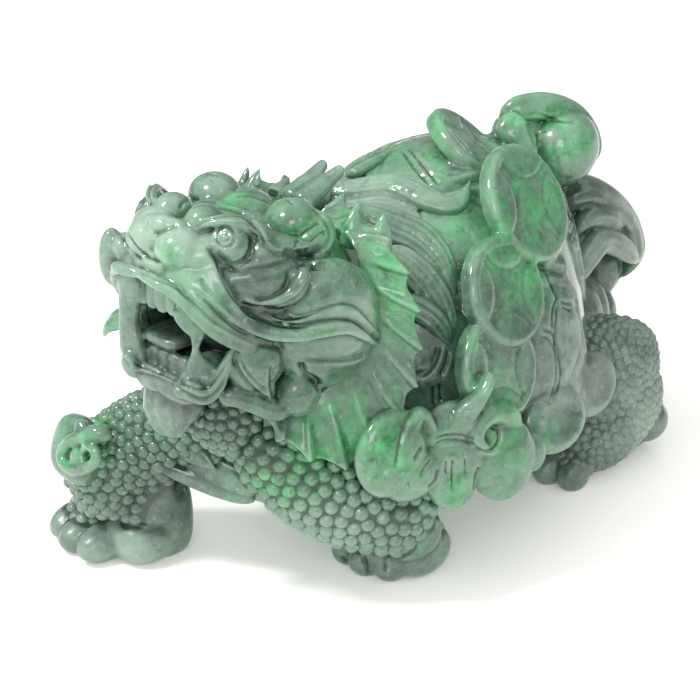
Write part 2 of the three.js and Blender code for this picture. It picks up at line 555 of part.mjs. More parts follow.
// Front legs with the chest between them. The left paw is folded under its forearm.
// The right one is set forward: a flat-topped pad with three toes, under a straight wrist.
function frontLegs() {
  const thick = { sides: 10, rings: 9, round: 0.16 };
  const left = [7, 9, 10.4, 10.8, 10.6, 8.6];
  const right = [8, 9, 9.4, 9.8, 9.2];
  const chest = [6, 8.5, 9, 8];
  const wrist = [8.4, 8.6, 9];
  return [
    lock([[-14, -58, 42], [-6, -62, 44], [1, -64, 43], [8, -60, 38]], chest, chest, [0, 0, 1], thick),
    lock([[4, -61, 39], [9.5, -59.5, 34.5], [14.5, -54.5, 28.5], [20.8, -48, 23.2], [27, -40, 20],
      [30.5, -34.5, 16]],
      left, left, [0, 0, 1], thick),
    ball([22.5, -33.5, 6], [9, 11, 6]),
    ball([25.5, -36.5, 12], [8.5, 8, 7]),
    ball([27.8, -33, 5.6], [5, 8, 5.6]),
    ...[[13.5, -39.5, 3.7], [19.2, -40.4, 3.8], [24.6, -38.6, 4]].map((toe) => ball(toe, [4.2, 5.6, 4.2])),
    lock([[-4, -60, 38], [-12, -62.5, 35], [-20, -66, 30], [-27, -70, 23],
      [-28, -69.5, 14]], right, right, [0, 0, 1], thick),
    lock([[-24.5, -64, 26], [-23.5, -66, 16], [-23.5, -67, 8]], wrist, wrist, [0, -1, 0], { sides: 9 }),
    block([-22.5, -67.5, 5.5], [18, 17, 11], 3),
    block([-31, -69, 5], [18, 14, 10], 2.6),
    ...[[-40.2, -72.6, 4.6], [-34.8, -75, 4.4], [-28.6, -76, 4.8]].map((toe) => ball(toe, [4.2, 6.4, 4.6])),
  ];
}

// Scroll on the forward elbow: a thick disc on which a band winds inwards.
function elbowCurl() {
  const face = [-0.3, -0.9, 0.32];
  const normal = new THREE.Vector3(...face).normalize();
  const level = new THREE.Vector3(0, 0, 1).cross(normal).normalize();
  const disc = new THREE.SphereGeometry(UNIT, 10, 6).scale(6.6, 6.2, 3.4);
  return [
    solid(placed(disc, at([-31.5, -78.1, 26.4]), level, normal.clone().cross(level), normal)),
    lock([[-19.3, -77.8, 32.4], [-23.4, -78.2, 33.9], [-30.5, -77.3, 32.8], [-38.2, -76.3, 28.9],
      [-42.7, -76.6, 24], [-41.8, -78.1, 20.4],
      [-35.6, -80.4, 20], [-26.6, -82.4, 23.4], [-20.2, -82.9, 28.6], [-24.6, -80.6, 32.2],
        [-28.9, -81.3, 27.5]],
    [2, 2.2, 2.2, 2.2, 2.2, 2.2, 2.2, 2.1, 2, 1.7, 1.2],
      [1.6, 2, 2.2, 2.2, 2.2, 2.2, 2.2, 2.1, 2, 1.7, 1.2], face, { rings: 16 }),
  ];
}

// Hind leg, folded: thigh, shin along the ground, foot and heel knob.
function hindLeg(side) {
  const s = { side, sides: 8, rings: 5 };
  const thigh = [9, 12.5, 12.5, 8];
  const shin = [8, 9.5, 9.5, 7];
  return [
    lock([[24, 24, 14], [25, 30, 20], [25, 38, 27],
      [22, 44, 33]], thigh, thigh, [0, 0, 1], { side, sides: 10, rings: 8 }),
    lock([[22, 24, 8.5], [28, 28, 10.5], [30, 37, 17],
      [27, 44, 24]], shin, shin, [0, 0, 1], { side, sides: 9, rings: 7 }),
    ball([24, 24, 6], [9.5, 8, 6.4], s),
    ball([28, 45.5, 8], [6, 6.4, 8], s),
    ball([31, 45.6, 8.6], [5.6, 5.6, 5.6], s),
    ...[[30, 19, 3.6], [24, 17.5, 3.6], [18, 19, 3.6]].map((toe) => ball(toe, [3.8, 4.4, 4.4], s)),
  ];
}

// Tail: bushy locks that rise from the rump and curl over behind the purse.
function tail() {
  const s = { sides: 6, rings: 9 };
  const out = [0.8, -0.5, 0.3];
  return [
    lock([[6, 39.6, 59.5], [7, 47.7, 60.3], [8, 56.7, 55.4], [8, 65.3, 47.1], [8, 69.8, 38.1],
      [8, 66.9, 32.3]],
      [5, 5, 4.6, 4.4, 4, 2], [7, 7, 6.5, 6, 5, 3], out, s),
    lock([[11, 68.2, 37.2], [13, 57.5, 45.4], [14.5, 47.4, 50.5], [15.5, 41.3, 49.1], [16.5, 35.4, 46.5],
      [18, 26.4, 45.3]],
      [1.6, 2.8, 3.4, 3.2, 2.6, 0.6], [2, 3, 3.4, 3, 2.6, 1], out, s),
    lock([[12, 39.2, 53.3], [12.5, 43, 56.4], [12.5, 49.6, 55.5], [12, 58.4, 50.2]], [1, 3, 3.4, 1.6],
      [2, 3, 3.4, 2], out, s),
    lock([[1, 42, 40], [-1, 52, 50], [-2, 61, 48], [-3, 66, 40], [-3, 64, 31]], [7, 7, 6.4, 5, 2.4],
      [7, 6.6, 6, 4.8, 2.4], [1, 0, 0], s),
    lock([[-6, 40, 40], [-8, 48, 47], [-10, 56, 44], [-10, 60, 35]], [6, 6, 5, 2], [6, 5.6, 4.8, 2],
      [1, 0, 0], s),
    ball([4, 46, 30], [14, 9, 13]),
    ball([4, 42, 46], [10, 8, 14]),
    ball([0, 64.5, 34.7], [8, 8.5, 9.5]),
    ball([2, 61, 23.4], [8, 7, 8]),
  ];
}

const rough = union([
  trunk(),
  ...scutes(),
  ...rimLobes(),
  ...coins(),
  ...cloud(),
  ...head(),
  ...[1, -1].flatMap((side) => [...frill(side), ...mane(side), ...hindLeg(side)]),
  ...frontLegs(),
  ...elbowCurl(),
  ...tail(),
]);

// The soles are ground off flat, so that the figure stands on its four paws.
const blank = solid(coarsen(rough.getMesh(), MAX_FACETS));
const sole = blank.boundingBox().min[2] + SOLE_CUT;
const waste = new THREE.BoxGeometry(4 * LENGTH, 4 * LENGTH, LENGTH).translate(0, 0, sole - LENGTH / 2);
const carving = blank.subtract(solid(waste));

// The finished figure, moved so that the origin is at the middle of its box, on the ground.
const box = carving.boundingBox();
const mesh = carving.getMesh();
const geometry = new THREE.BufferGeometry();
geometry.setAttribute('position', new THREE.BufferAttribute(new Float32Array(mesh.vertProperties), 3));
geometry.setIndex(new THREE.BufferAttribute(new Uint32Array(mesh.triVerts), 1));
geometry.translate(-(box.min[0] + box.max[0]) / 2, -(box.min[1] + box.max[1]) / 2, -box.min[2]);

const jade = new THREE.MeshStandardMaterial({ color: 0x7f9a88, roughness: 0.18, metalness: 0 });
const figure = new THREE.Mesh(geometry, jade);
figure.name = 'dragon_turtle';

const model = new THREE.Group();
model.add(figure);

export default model;
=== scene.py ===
# Dragon turtle, a table carving cut from one block of polished jadeite.
#
# The dragon looks along -Y, its left is +X, and it stands on the plane z = 0.
# Its forms are drawn on the grid of the solid, in steps of about a millimetre, and
# put into the frame by place(). Each block of forms is fused into one skin, softened
# as by polishing, and then scored with the carver's lines.

import math

import bpy
import numpy as np
from mathutils import Matrix, Vector, kdtree
from mathutils.bvhtree import BVHTree


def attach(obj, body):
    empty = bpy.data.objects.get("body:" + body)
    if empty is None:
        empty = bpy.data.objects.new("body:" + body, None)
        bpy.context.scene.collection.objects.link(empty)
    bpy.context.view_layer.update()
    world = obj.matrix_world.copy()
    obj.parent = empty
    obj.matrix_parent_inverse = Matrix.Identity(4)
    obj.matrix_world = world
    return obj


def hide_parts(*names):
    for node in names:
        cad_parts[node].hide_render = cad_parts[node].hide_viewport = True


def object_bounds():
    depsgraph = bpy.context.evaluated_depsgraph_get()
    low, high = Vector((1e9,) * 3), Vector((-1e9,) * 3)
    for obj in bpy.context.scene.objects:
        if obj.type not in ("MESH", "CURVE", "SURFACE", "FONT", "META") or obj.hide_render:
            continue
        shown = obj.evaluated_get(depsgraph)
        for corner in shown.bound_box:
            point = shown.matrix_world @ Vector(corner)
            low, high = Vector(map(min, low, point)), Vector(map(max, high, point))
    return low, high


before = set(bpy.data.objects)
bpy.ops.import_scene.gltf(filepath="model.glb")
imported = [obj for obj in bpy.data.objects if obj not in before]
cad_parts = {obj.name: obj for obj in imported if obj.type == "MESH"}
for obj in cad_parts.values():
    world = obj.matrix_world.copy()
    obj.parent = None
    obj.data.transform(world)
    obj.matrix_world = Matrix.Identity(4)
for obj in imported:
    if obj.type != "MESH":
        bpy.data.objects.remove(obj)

bpy.ops.object.select_all(action="DESELECT")

CAD_LOW, CAD_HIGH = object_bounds()

# The solid's box on the grid, which ties the grid to the frame.
GRID_LOW = np.array((-44.58, -86.09, 0.62))
GRID_LENGTH = 159.09
LOW = np.array(CAD_LOW)
UNIT = (CAD_HIGH.y - CAD_LOW.y) / GRID_LENGTH
MM = 0.001

# Shell: middle, half-width, half-length, rise above the rim and drop of the belly, on the grid.
SHELL_MIDDLE = np.array((0.0, 5.0, 30.0))
SHELL_HALF = (40.5, 49.0)
SHELL_RISE = 52.0
SHELL_DROP = 13.0

COIN_RADIUS = 12.0
COIN_THICKNESS = 4.5
BEAD = 3.1  # spacing of the bead scales

# Fineness of the fused skins, and the most triangles that a piece keeps.
FINE_VOXEL = 0.36
PLAIN_VOXEL = 0.45
MOST_TRIANGLES = 190000


# The photograph's camera: what it looks at on the grid, how far off it stands, and its lens.
LOOK_AT = np.array((-9.0, -16.5, 36.0))
STAND_OFF = 410.0
LENS, FILM = 92.0, 36.0
PHOTO_SIZE = 700
TURN, RISE = math.radians(43), math.radians(26)
BACK = np.array((math.sin(TURN) * math.cos(RISE), -math.cos(TURN) * math.cos(RISE), math.sin(RISE)))
RIGHT = np.array((math.cos(TURN), math.sin(TURN), 0.0))
UP = np.cross(BACK, RIGHT)
EYE = LOOK_AT + BACK * STAND_OFF
PIXELS = PHOTO_SIZE * LENS / FILM  # pixels for a slope of one


def place(points):
    """Places on the grid, as metres in the frame."""
    return LOW + (np.asarray(points, float) - GRID_LOW) * UNIT


def sight(x, y):
    """The way from the camera through a pixel of the photograph."""
    half = PHOTO_SIZE / 2
    return -BACK + RIGHT * (x - half) / PIXELS + UP * (half - y) / PIXELS


# The dragon's left side lies near one upright plane, on which its bands are traced from the photograph.
SIDE_OUT = np.array((0.872, -0.490, 0.0))
SIDE_REACH = 48.2


def near(*marks):
    """Places on the near side of the head, from pixels and millimetres in front of its plane."""
    found = []
    for x, y, *more in marks:
        way = sight(x, y)
        reach = SIDE_REACH + (more[0] if more else 0)
        found.append(EYE + way * (reach - SIDE_OUT @ EYE) / (SIDE_OUT @ way))
    return found


def at_x(*marks):
    """Places seen at pixels of the photograph, each at its given x on the grid."""
    found = []
    for x, y, side in marks:
        way = sight(x, y)
        found.append(EYE + way * (side - EYE[0]) / way[0])
    return found


def on_plane(middle, face, *marks):
    """Places on a plane, from pixels of the photograph and millimetres in front of the plane."""
    middle, face = np.asarray(middle, float), unit(np.asarray(face, float))
    found = []
    for x, y, *out in marks:
        way = sight(x, y)
        lift = out[0] if out else 0
        found.append(EYE + way * (face @ middle + lift - face @ EYE) / (face @ way))
    return found


# Tools for making forms


def primitive(add, **settings):
    """Points and faces of one of Blender's own shapes, taken off the scene again."""
    bpy.ops.object.select_all(action="DESELECT")
    add(**settings)
    return taken(bpy.context.object)


def taken(shape):
    """Points and faces of an object that is removed."""
    mesh = shape.data
    points = np.empty(3 * len(mesh.vertices))
    mesh.vertices.foreach_get("co", points)
    faces = [tuple(face.vertices) for face in mesh.polygons]
    bpy.data.objects.remove(shape)
    bpy.data.meshes.remove(mesh)
    return points.reshape(-1, 3), faces


SPHERES = {}


def sphere(segments, rings):
    """A unit sphere with its poles on Z, made once for each fineness."""
    key = (segments, rings)
    if key not in SPHERES:
        add = bpy.ops.mesh.primitive_uv_sphere_add
        SPHERES[key] = primitive(add, segments=segments, ring_count=rings, radius=1)
    return SPHERES[key]


def turned(degrees, side=1):
    """Rotation about X, Y and Z; the mirrored side turns the other way about Y and Z."""
    x, y, z = (math.radians(value) for value in degrees)
    spin = Matrix.Rotation(x, 3, "X") @ Matrix.Rotation(y * side, 3, "Y") @ Matrix.Rotation(z * side, 3, "Z")
    return np.array(spin)


def ball(centre, radii, turn=(0, 0, 0), side=1):
    """An egg-shaped mass."""
    points, faces = sphere(28, 18)
    middle = np.array((centre[0] * side, centre[1], centre[2]))
    return (points * radii) @ turned(turn, side).T + middle, faces


def spline(points, count):
    """Places along a smooth curve through the points, evenly spaced."""
    knots = np.asarray(points, float)
    padded = np.vstack((2 * knots[0] - knots[1], knots, 2 * knots[-1] - knots[-2]))
    dense = []
    steps = np.linspace(0, 1, 17)[:-1, None]
    for a, b, c, d in zip(padded, padded[1:], padded[2:], padded[3:]):
        straight = 2 * b + (c - a) * steps
        bend = (2 * a - 5 * b + 4 * c - d) * steps**2
        twist = (3 * b - a - 3 * c + d) * steps**3
        dense.append(0.5 * (straight + bend + twist))
    dense = np.vstack(dense + [knots[-1:]])
    reach = np.concatenate(([0], np.cumsum(np.linalg.norm(np.diff(dense, axis=0), axis=1))))
    where = np.linspace(0, reach[-1], count)
    return np.column_stack([np.interp(where, reach, column) for column in dense.T])


def unit(vectors):
    """Vectors drawn to a length of one."""
    return vectors / np.linalg.norm(vectors, axis=-1, keepdims=True)


def lock(points, widths, depths, face, side=1, cap=0.18, square=2.0, grooves=0, cut=0.5, sides=28, rings=56):
    """A limb, ribbon or lock of hair: a section led along a curve, with rounded ends.

    widths lie across the curve and depths along the direction that it faces. square
    above 2 flattens the section, and grooves run lengthwise over the face that shows.
    """
    ball_points, faces = sphere(sides, rings)
    flip = np.array((side, 1, 1))
    route = spline(np.asarray(points, float) * flip, 160)
    tangents = unit(np.gradient(route, axis=0))
    facing = np.broadcast_to(np.asarray(face, float) * flip, (len(points) if np.ndim(face) > 1 else 1, 3))
    facing = spline(facing, 160) if len(facing) > 1 else facing
    normals = unit(facing - (tangents * facing).sum(axis=1)[:, None] * tangents)
    across = np.cross(tangents, normals)
    t = np.arccos(np.clip(ball_points[:, 2], -1, 1)) / math.pi
    angle = np.arctan2(ball_points[:, 1], ball_points[:, 0])
    end = np.maximum(0, np.abs(2 * t - 1) - 1 + 2 * cap) / (2 * cap)
    shrink = np.sqrt(np.maximum(0, 1 - end**2))
    c, s = np.cos(angle), np.sin(angle)
    swell = (np.abs(c) ** square + np.abs(s) ** square) ** (-1 / square)
    knots = np.linspace(0, 1, len(widths))
    wide = np.interp(t, knots, widths) * shrink * c * swell
    deep = np.interp(t, knots, depths) * shrink * s * swell
    if grooves:
        valley = np.abs(np.cos(math.pi * grooves * (c * swell + 1) / 2)) ** 4
        deep -= cut * valley * np.clip(s * 1.6, 0, 1) * np.minimum(1, shrink * 1.5)
    index = t * (len(route) - 1)
    low = np.clip(index.astype(int), 0, len(route) - 2)
    part = (index - low)[:, None]

    def at(values):
        return values[low] * (1 - part) + values[low + 1] * part

    return at(route) + at(across) * wide[:, None] + at(normals) * deep[:, None], faces


def slab(surface, thickness, across, down):
    """A closed sheet: surface(u, v) gives its middle and thickness(u, v) its full thickness."""
    u, v = (axis.ravel() for axis in np.meshgrid(np.linspace(0, 1, across + 1), np.linspace(0, 1, down + 1)))
    step = 0.004
    middle = surface(u, v)
    across_way = surface(u + step, v) - surface(u - step, v)
    down_way = surface(u, v + step) - surface(u, v - step)
    normal = unit(np.cross(across_way, down_way))
    half = normal * (thickness(u, v) / 2)[:, None]
    points = np.vstack((middle + half, middle - half))
    wide, count = across + 1, len(middle)
    faces = []
    for row in range(down):
        for column in range(across):
            a = row * wide + column
            front = (a, a + 1, a + 1 + wide, a + wide)
            faces.append(front)
            faces.append(tuple(count + corner for corner in reversed(front)))
    border = [i for i in range(across)]
    border += [row * wide + across for row in range(down)]
    border += [down * wide + i for i in range(across, 0, -1)]
    border += [row * wide for row in range(down, 0, -1)]
    for a, b in zip(border, border[1:] + border[:1]):
        faces.append((b, a, a + count, b + count))
    return points, faces


def moved(form, middle, x, y, z):
    """A form whose own axes are laid along x, y and z about a middle."""
    points, faces = form
    return points @ np.array((x, y, z)) + np.asarray(middle, float), faces


def frame_of(normal, up):
    """Two tangents for a normal: across and upright."""
    normal = unit(np.asarray(normal, float))
    across = unit(np.cross(np.asarray(up, float), normal))
    return across, np.cross(normal, across), normal


# Shell

NARROWING_START = 8  # behind this the shell narrows
NARROWING = 0.0155  # share of its width lost with each millimetre


def narrowing(y):
    """How much narrower the shell is towards the tail."""
    return 1 - NARROWING * np.log1p(np.exp((y - NARROWING_START) / 4)) * 4


def on_shell(turn, climb):
    """A place on the dome with its normal, by compass turn from +X to the tail and climb above the rim."""
    a, b = math.radians(turn), math.radians(climb)
    way = np.array((math.cos(b) * math.cos(a), math.cos(b) * math.sin(a), math.sin(b)))
    spot = SHELL_MIDDLE + way * (*SHELL_HALF, SHELL_RISE)
    spot[0] *= narrowing(spot[1])
    return spot, shell_normal(spot)


def inside_shell(spot):
    """Below 1 inside the dome, 1 on it and more outside."""
    away = (np.asarray(spot, float) - SHELL_MIDDLE) / (*SHELL_HALF, SHELL_RISE)
    away[0] /= narrowing(spot[1])
    return away @ away


def shell_normal(spot):
    """The outward way from the dome at a place."""
    steps = np.eye(3) * 0.05
    return unit(np.array([inside_shell(spot + step) - inside_shell(spot - step) for step in steps]))


def over_shell(*marks):
    """Places and normals where pixels of the photograph fall on the dome, lifted by millimetres."""
    spots, normals = [], []
    for x, y, lift in marks:
        way = sight(x, y)
        steps = STAND_OFF + np.linspace(-75, 45, 600)
        inside = np.array([inside_shell(EYE + way * step) for step in steps])
        hit = steps[np.argmax(inside < 1) if (inside < 1).any() else inside.argmin()]
        spot = EYE + way * hit
        normals.append(shell_normal(spot))
        spots.append(spot + normals[-1] * lift)
    return spots, normals


def plate_middles():
    """Middles of the plates: two rows up each flank, and a row along the back."""
    rows = [(90, 38), (90, 66), (270, 84)]
    for turn in (-40, -8, 24, 56):
        for compass, climb in ((turn, 23), (turn + 16, 50)):
            rows += [(compass, climb), (180 - compass, climb)]
    return np.array([on_shell(*row)[0] for row in rows])


PLATE_RISE = 1.3
PLATE_REACH = 16.5  # the pattern stops this far from a plate's middle
PLATE_LINES = (3.2, 4.5)  # fine lines, by their distance from a plate's border
LINE_DEPTH, LINE_WIDTH = 0.55, 0.42


def dome():
    """The shell with its six-sided plates: a deep groove round each and two fine lines inside it."""
    points, faces = sphere(300, 170)
    height = np.where(points[:, 2] > 0, SHELL_RISE, SHELL_DROP)
    size = np.column_stack((np.full(len(points), SHELL_HALF[0]), np.full(len(points), SHELL_HALF[1]), height))
    normal = unit(points / size)
    skin = points * size + SHELL_MIDDLE
    skin[:, 0] *= narrowing(skin[:, 1])
    reach = np.sort(np.linalg.norm(skin[:, None] - plate_middles()[None], axis=2), axis=1)
    border = (reach[:, 1] - reach[:, 0]) / 2
    rise = PLATE_RISE * np.clip((border - 0.5) / 1.1, 0, 1) ** 0.7
    for line in PLATE_LINES:
        rise -= LINE_DEPTH * np.exp(-(((border - line) / LINE_WIDTH) ** 2))
    shown = np.clip((points[:, 2] - 0.12) / 0.08, 0, 1) * np.clip((PLATE_REACH - reach[:, 0]) / 1.5, 0, 1)
    # On the near flank the lines are traced from the photograph instead, in SHELL_CUTS.
    traced = (skin[:, 0] > 20) & (skin[:, 1] > 10) & (skin[:, 2] < 66)
    shown = np.where(traced, 0, shown)
    return skin + normal * (rise * shown)[:, None], faces


RIM_FLAPS = 16
FLAP_SIZE = (9.4, 7.4, 3.6)  # half-width, half-height and half-thickness
FLAP_HOLLOW = 1.9


def petal(middle, normal, up):
    """A rounded flap, hollowed in its middle so that a soft rim stands round it."""
    points, faces = sphere(32, 20)
    radius = np.hypot(points[:, 0], points[:, 1])
    shaped = points * FLAP_SIZE
    shaped[:, 2] -= FLAP_HOLLOW * np.exp(-((radius / 0.62) ** 4)) * (points[:, 2] > 0)
    across, upright, out = frame_of(normal, up)
    return moved((shaped, faces), middle, across, upright, out)


def rim():
    """Rounded flaps all round the shell's edge; the rear ones lean forward."""
    forms = []
    for i in range(RIM_FLAPS):
        middle, normal = on_shell(360 * (i + 0.5) / RIM_FLAPS, 0)
        out = unit(normal * (1, 1, 0)) + (0, 0, 0.35)
        if middle[1] > NARROWING_START:
            out += np.array((0.7 * np.sign(middle[0]), -0.5, 0.1))
        forms.append(petal(middle + unit(out) * 0.9 + (0, 0, 1), out, (0, 0, 1)))
    return forms


# Coins, purse and sceptre head

# Marks for at_x() and near() are pixels of the photograph and then millimetres.
THIRD_COIN = (524, 204, 24)
TOP_COIN = (468, 149, 4)
PURSE = (561, 147, 10)
PURSE_HOOD = (551, 133, 5)
RIBBON = [(499, 124, 2), (512, 111, 4), (534, 106, 7), (556, 107, 9.5), (576, 115, 11), (590, 132, 12.5),
          (594, 152, 13.5), (588, 168, 14)]
RIBBON_FOLD = [(500, 118, 4), (512, 128, 7), (524, 143, 10), (536, 158, 13)]

CHAIN = [
    {"middle": (36.5, -20.5, 48.5), "face": (0.93, 0.02, 0.32), "size": 0.97},
    {"middle": (31.8, -13.2, 62.0), "face": (0.9, 0.06, 0.4), "size": 1.0},
    {"middle": at_x(THIRD_COIN)[0], "face": (0.86, 0.13, 0.5), "size": 1.12},
    {"middle": at_x(TOP_COIN)[0], "face": (0.52, 0.4, 0.755), "size": 0.96},
]

COIN_RIM = 1.7  # width of the raised rim
COIN_ROUNDING = 1.6
COIN_SINK = 0.55  # depth of the field inside the rim
LEAF_MIDDLE, LEAF_RADIUS = 1.22, 0.78  # of the four leaf arcs, as shares of the field's radius
LEAF_RISE, LEAF_LINE = 0.3, 0.28


def coin(middle, face, size):
    """A cash coin: flat rounded rim, and in the sunk field four leaf shapes round a hollow-sided middle."""
    rings, turns = 60, 128
    radius = COIN_RADIUS * size
    half = COIN_THICKNESS / 2
    r = np.concatenate((np.linspace(0, 1, rings), [1.0], np.linspace(1, 0, 8)[1:]))
    angle = np.linspace(0, 2 * math.pi, turns, endpoint=False)
    grid_r, grid_a = np.meshgrid(r, angle)
    inner = 1 - COIN_RIM / radius
    edge = np.clip((1 - grid_r) * radius / COIN_ROUNDING, 0, 1)
    top = half - COIN_ROUNDING * (1 - np.sqrt(1 - (1 - edge) ** 2))
    sunk = np.clip((inner - grid_r) * radius / 0.5, 0, 1)
    top -= COIN_SINK * sunk * sunk * (3 - 2 * sunk)
    quarter = (grid_a + math.pi / 4) % (math.pi / 2) - math.pi / 4
    x, y = grid_r * np.cos(quarter), grid_r * np.sin(quarter)
    leaf = (LEAF_RADIUS * inner - np.hypot(x - LEAF_MIDDLE * inner, y)) * radius
    top += LEAF_RISE * np.clip(leaf / 0.8, 0, 1) * sunk
    top -= LEAF_LINE * np.exp(-((leaf / 0.35) ** 2)) * sunk
    bottom = np.full_like(top, -half)
    height = np.where(np.arange(len(r))[None] <= rings, top, bottom)
    height[:, rings] = -half + 0.8
    flat_x, flat_y = grid_r * np.cos(grid_a), grid_r * np.sin(grid_a)
    points = np.column_stack((flat_x.ravel() * radius, flat_y.ravel() * radius, height.ravel()))
    faces = []
    wide = len(r)
    for i in range(turns):
        for j in range(wide - 1):
            a, b = i * wide + j, ((i + 1) % turns) * wide + j
            faces.append((a, a + 1, b + 1, b))
    across, upright, normal = frame_of(face, (0, 0.3, 1))
    return moved((points, faces), middle, across, upright, normal)


def coins():
    """The chain of coins and the purse, with the stone that carries them."""
    forms = [coin(**one) for one in CHAIN]
    return forms + [
        ball((26, -12, 54), (8, 10, 12)),
        ball((15, 4, 68), (9, 11, 9)),
        # Purse: its body, the hood that wraps over it, a ribbon and a fold.
        ball(at_x(PURSE)[0], (8.8, 9.5, 9.2), turn=(0, 20, 20)),
        ball(at_x(PURSE_HOOD)[0], (9, 10, 8.4), turn=(0, 20, 20)),
        ball((4, 33, 70), (9, 11, 9)),
        ball((3.6, 28.4, 81.6), (5, 6.4, 5)),
        ball((2.4, 24.6, 81), (3.6, 4.6, 4.6)),
        lock(at_x(*RIBBON),
             (2, 3, 3.2, 3, 2.6, 2.2, 2, 1), (1.2, 1.8, 2, 2, 1.8, 1.6, 1.4, 1), (0.6, -0.6, 0.5),
             square=2.6),
        lock(at_x(*RIBBON_FOLD), (3, 3.6, 3.2, 1), (1.4, 1.8, 1.6, 0.8), (0.6, -0.6, 0.5), square=2.6),
    ]


CLOUD_FACE = unit(np.array((0.93, -0.28, 0.2)))
CLOUD_MIDDLE = np.array((37.5, -34.3, 34.2))

# Lobes: middle in pixels, half-width, half-height and half-thickness, millimetres in front, lean in degrees.
CLOUD_LOBES = [
    (391, 453, 8.2, 9.4, 3.6, 0.6, -24),
    (413, 474, 7.4, 5.4, 3.2, 0.2, 14),
    (452, 482, 5.8, 5.9, 3.2, 0.2, 0),
    (453, 458, 10, 7, 3.2, 0, 0),
    (452, 430, 7.6, 6.4, 2.8, 0.2, 0),
    (502, 458, 8.2, 9.4, 3.4, 0.2, 0),
    (531, 452, 3.6, 4.4, 2.4, -1, 0),
]
LEFT_SCROLL = [(402, 462, 0.4), (405, 444, 1), (410, 428, 1.4), (418, 414, 1.4), (426, 418, 1.2),
               (431, 430, 0.8), (430, 442, 0.4)]
RIGHT_SCROLL = [(491, 430, 0.8), (496, 438, 1.6), (490, 449, 1.8), (479, 446, 2), (474, 434, 2),
                (480, 421, 1.8), (492, 413, 1.4), (507, 416, 0.8), (520, 430, 0.2)]
CLOUD_STEM = [(458, 432, 1), (464, 416, 2.2), (475, 402, 3.6), (484, 388, 4.4), (490, 371, 3.6)]


def cloud():
    """Cloud-shaped sceptre head: three lobes, two scrolls and the stem that runs into a coin."""
    across, upright, normal = frame_of(CLOUD_FACE, (0, 0, 1))

    def lobe(x, y, wide, tall, thick, out, lean):
        points, faces = sphere(48, 28)
        spin = np.array(Matrix.Rotation(math.radians(lean), 3, "Z"))
        shaped = (points * (wide, tall, thick)) @ spin.T
        spot = on_plane(CLOUD_MIDDLE, CLOUD_FACE, (x, y, out))[0]
        return moved((shaped, faces), spot, across, upright, normal)

    def band(marks, widths, depths, **more):
        return lock(on_plane(CLOUD_MIDDLE, CLOUD_FACE, *marks), widths, depths, CLOUD_FACE, **more)

    return [
        *[lobe(*one) for one in CLOUD_LOBES],
        band(LEFT_SCROLL, (3, 2.8, 2.4, 1.8, 1.4, 1.1, 0.8), (1.6, 2, 2.2, 2.2, 2, 1.8, 1.2)),
        band(RIGHT_SCROLL, (0.6, 1.2, 1.6, 1.9, 2.2, 2.4, 2.6, 2.6, 1.6),
             (1, 1.8, 2.2, 2.6, 2.8, 2.8, 2.6, 2.2, 1.4)),
        band(CLOUD_STEM, (4.6, 3.2, 2, 1.5, 1.2), (2.2, 2.4, 2.4, 2.2, 1.8)),
    ]


# Collar and mane

FRILL_ROOT = [(5, -43, 79), (12, -43, 79), (18, -44, 77), (22, -45, 69), (23, -46, 60), (20, -51, 52),
              (15, -59, 47), (11, -65, 49)]
FRILL_TIP = [(8, -36, 84), (14.5, -37, 82), (21, -38.5, 80), (28, -39.5, 75.5), (32, -39.5, 66),
             (33.5, -41, 54), (32.5, -46, 43), (27, -55, 34.5), (20, -65, 40), (16, -69, 50)]
FRILL_SPINES = 12
FRILL_LINES = (-0.26, -0.15, 0.15, 0.27)  # fine lines beside each spine, as shares of the gap between spines
SPINE_RISE, FRILL_LINE_DEPTH = 0.9, 0.8
FRILL_HOLLOW, FRILL_WAVE = 1.9, 0.6  # how far the edge draws in between spines, and how far the web sways
FRILL_THICK, FRILL_THIN = 2.6, 1.2  # thickness at the root, and how much of it is lost at the edge


def frill(side):
    """Fan collar behind the jaw: a wavy web between spines, with fine lines beside each spine."""
    flip = np.array((side, 1, 1))
    root, tip = (spline(np.array(points) * flip, 400) for points in (FRILL_ROOT, FRILL_TIP))

    def along(route, u):
        index = np.clip(u, 0, 1) * (len(route) - 1)
        low = np.clip(index.astype(int), 0, len(route) - 2)
        part = (index - low)[:, None]
        return route[low] * (1 - part) + route[low + 1] * part

    sweep = np.array((0.8 * side, -0.4, 0.3))

    def surface(u, v):
        a, b = along(root, u), along(tip, u)
        reach = np.linalg.norm(b - a, axis=1)
        hollow = FRILL_HOLLOW * np.abs(np.sin(math.pi * FRILL_SPINES * u)) ** 0.7 * np.maximum(0, v) ** 2
        wave = FRILL_WAVE * np.cos(2 * math.pi * FRILL_SPINES * u) * v**2
        return a + (b - a) * ((v * reach - hollow) / reach)[:, None] + sweep * wave[:, None]

    def thickness(u, v):
        away = (FRILL_SPINES * u + 0.5) % 1 - 0.5
        ribs = SPINE_RISE * np.exp(-((away / 0.09) ** 2))
        for line in FRILL_LINES:
            ribs -= FRILL_LINE_DEPTH * np.exp(-(((away - line) / 0.04) ** 2))
        return FRILL_THICK - FRILL_THIN * v**3 + ribs * np.clip((v - 0.2) / 0.3, 0, 1)

    return slab(surface, thickness, 480, 24)


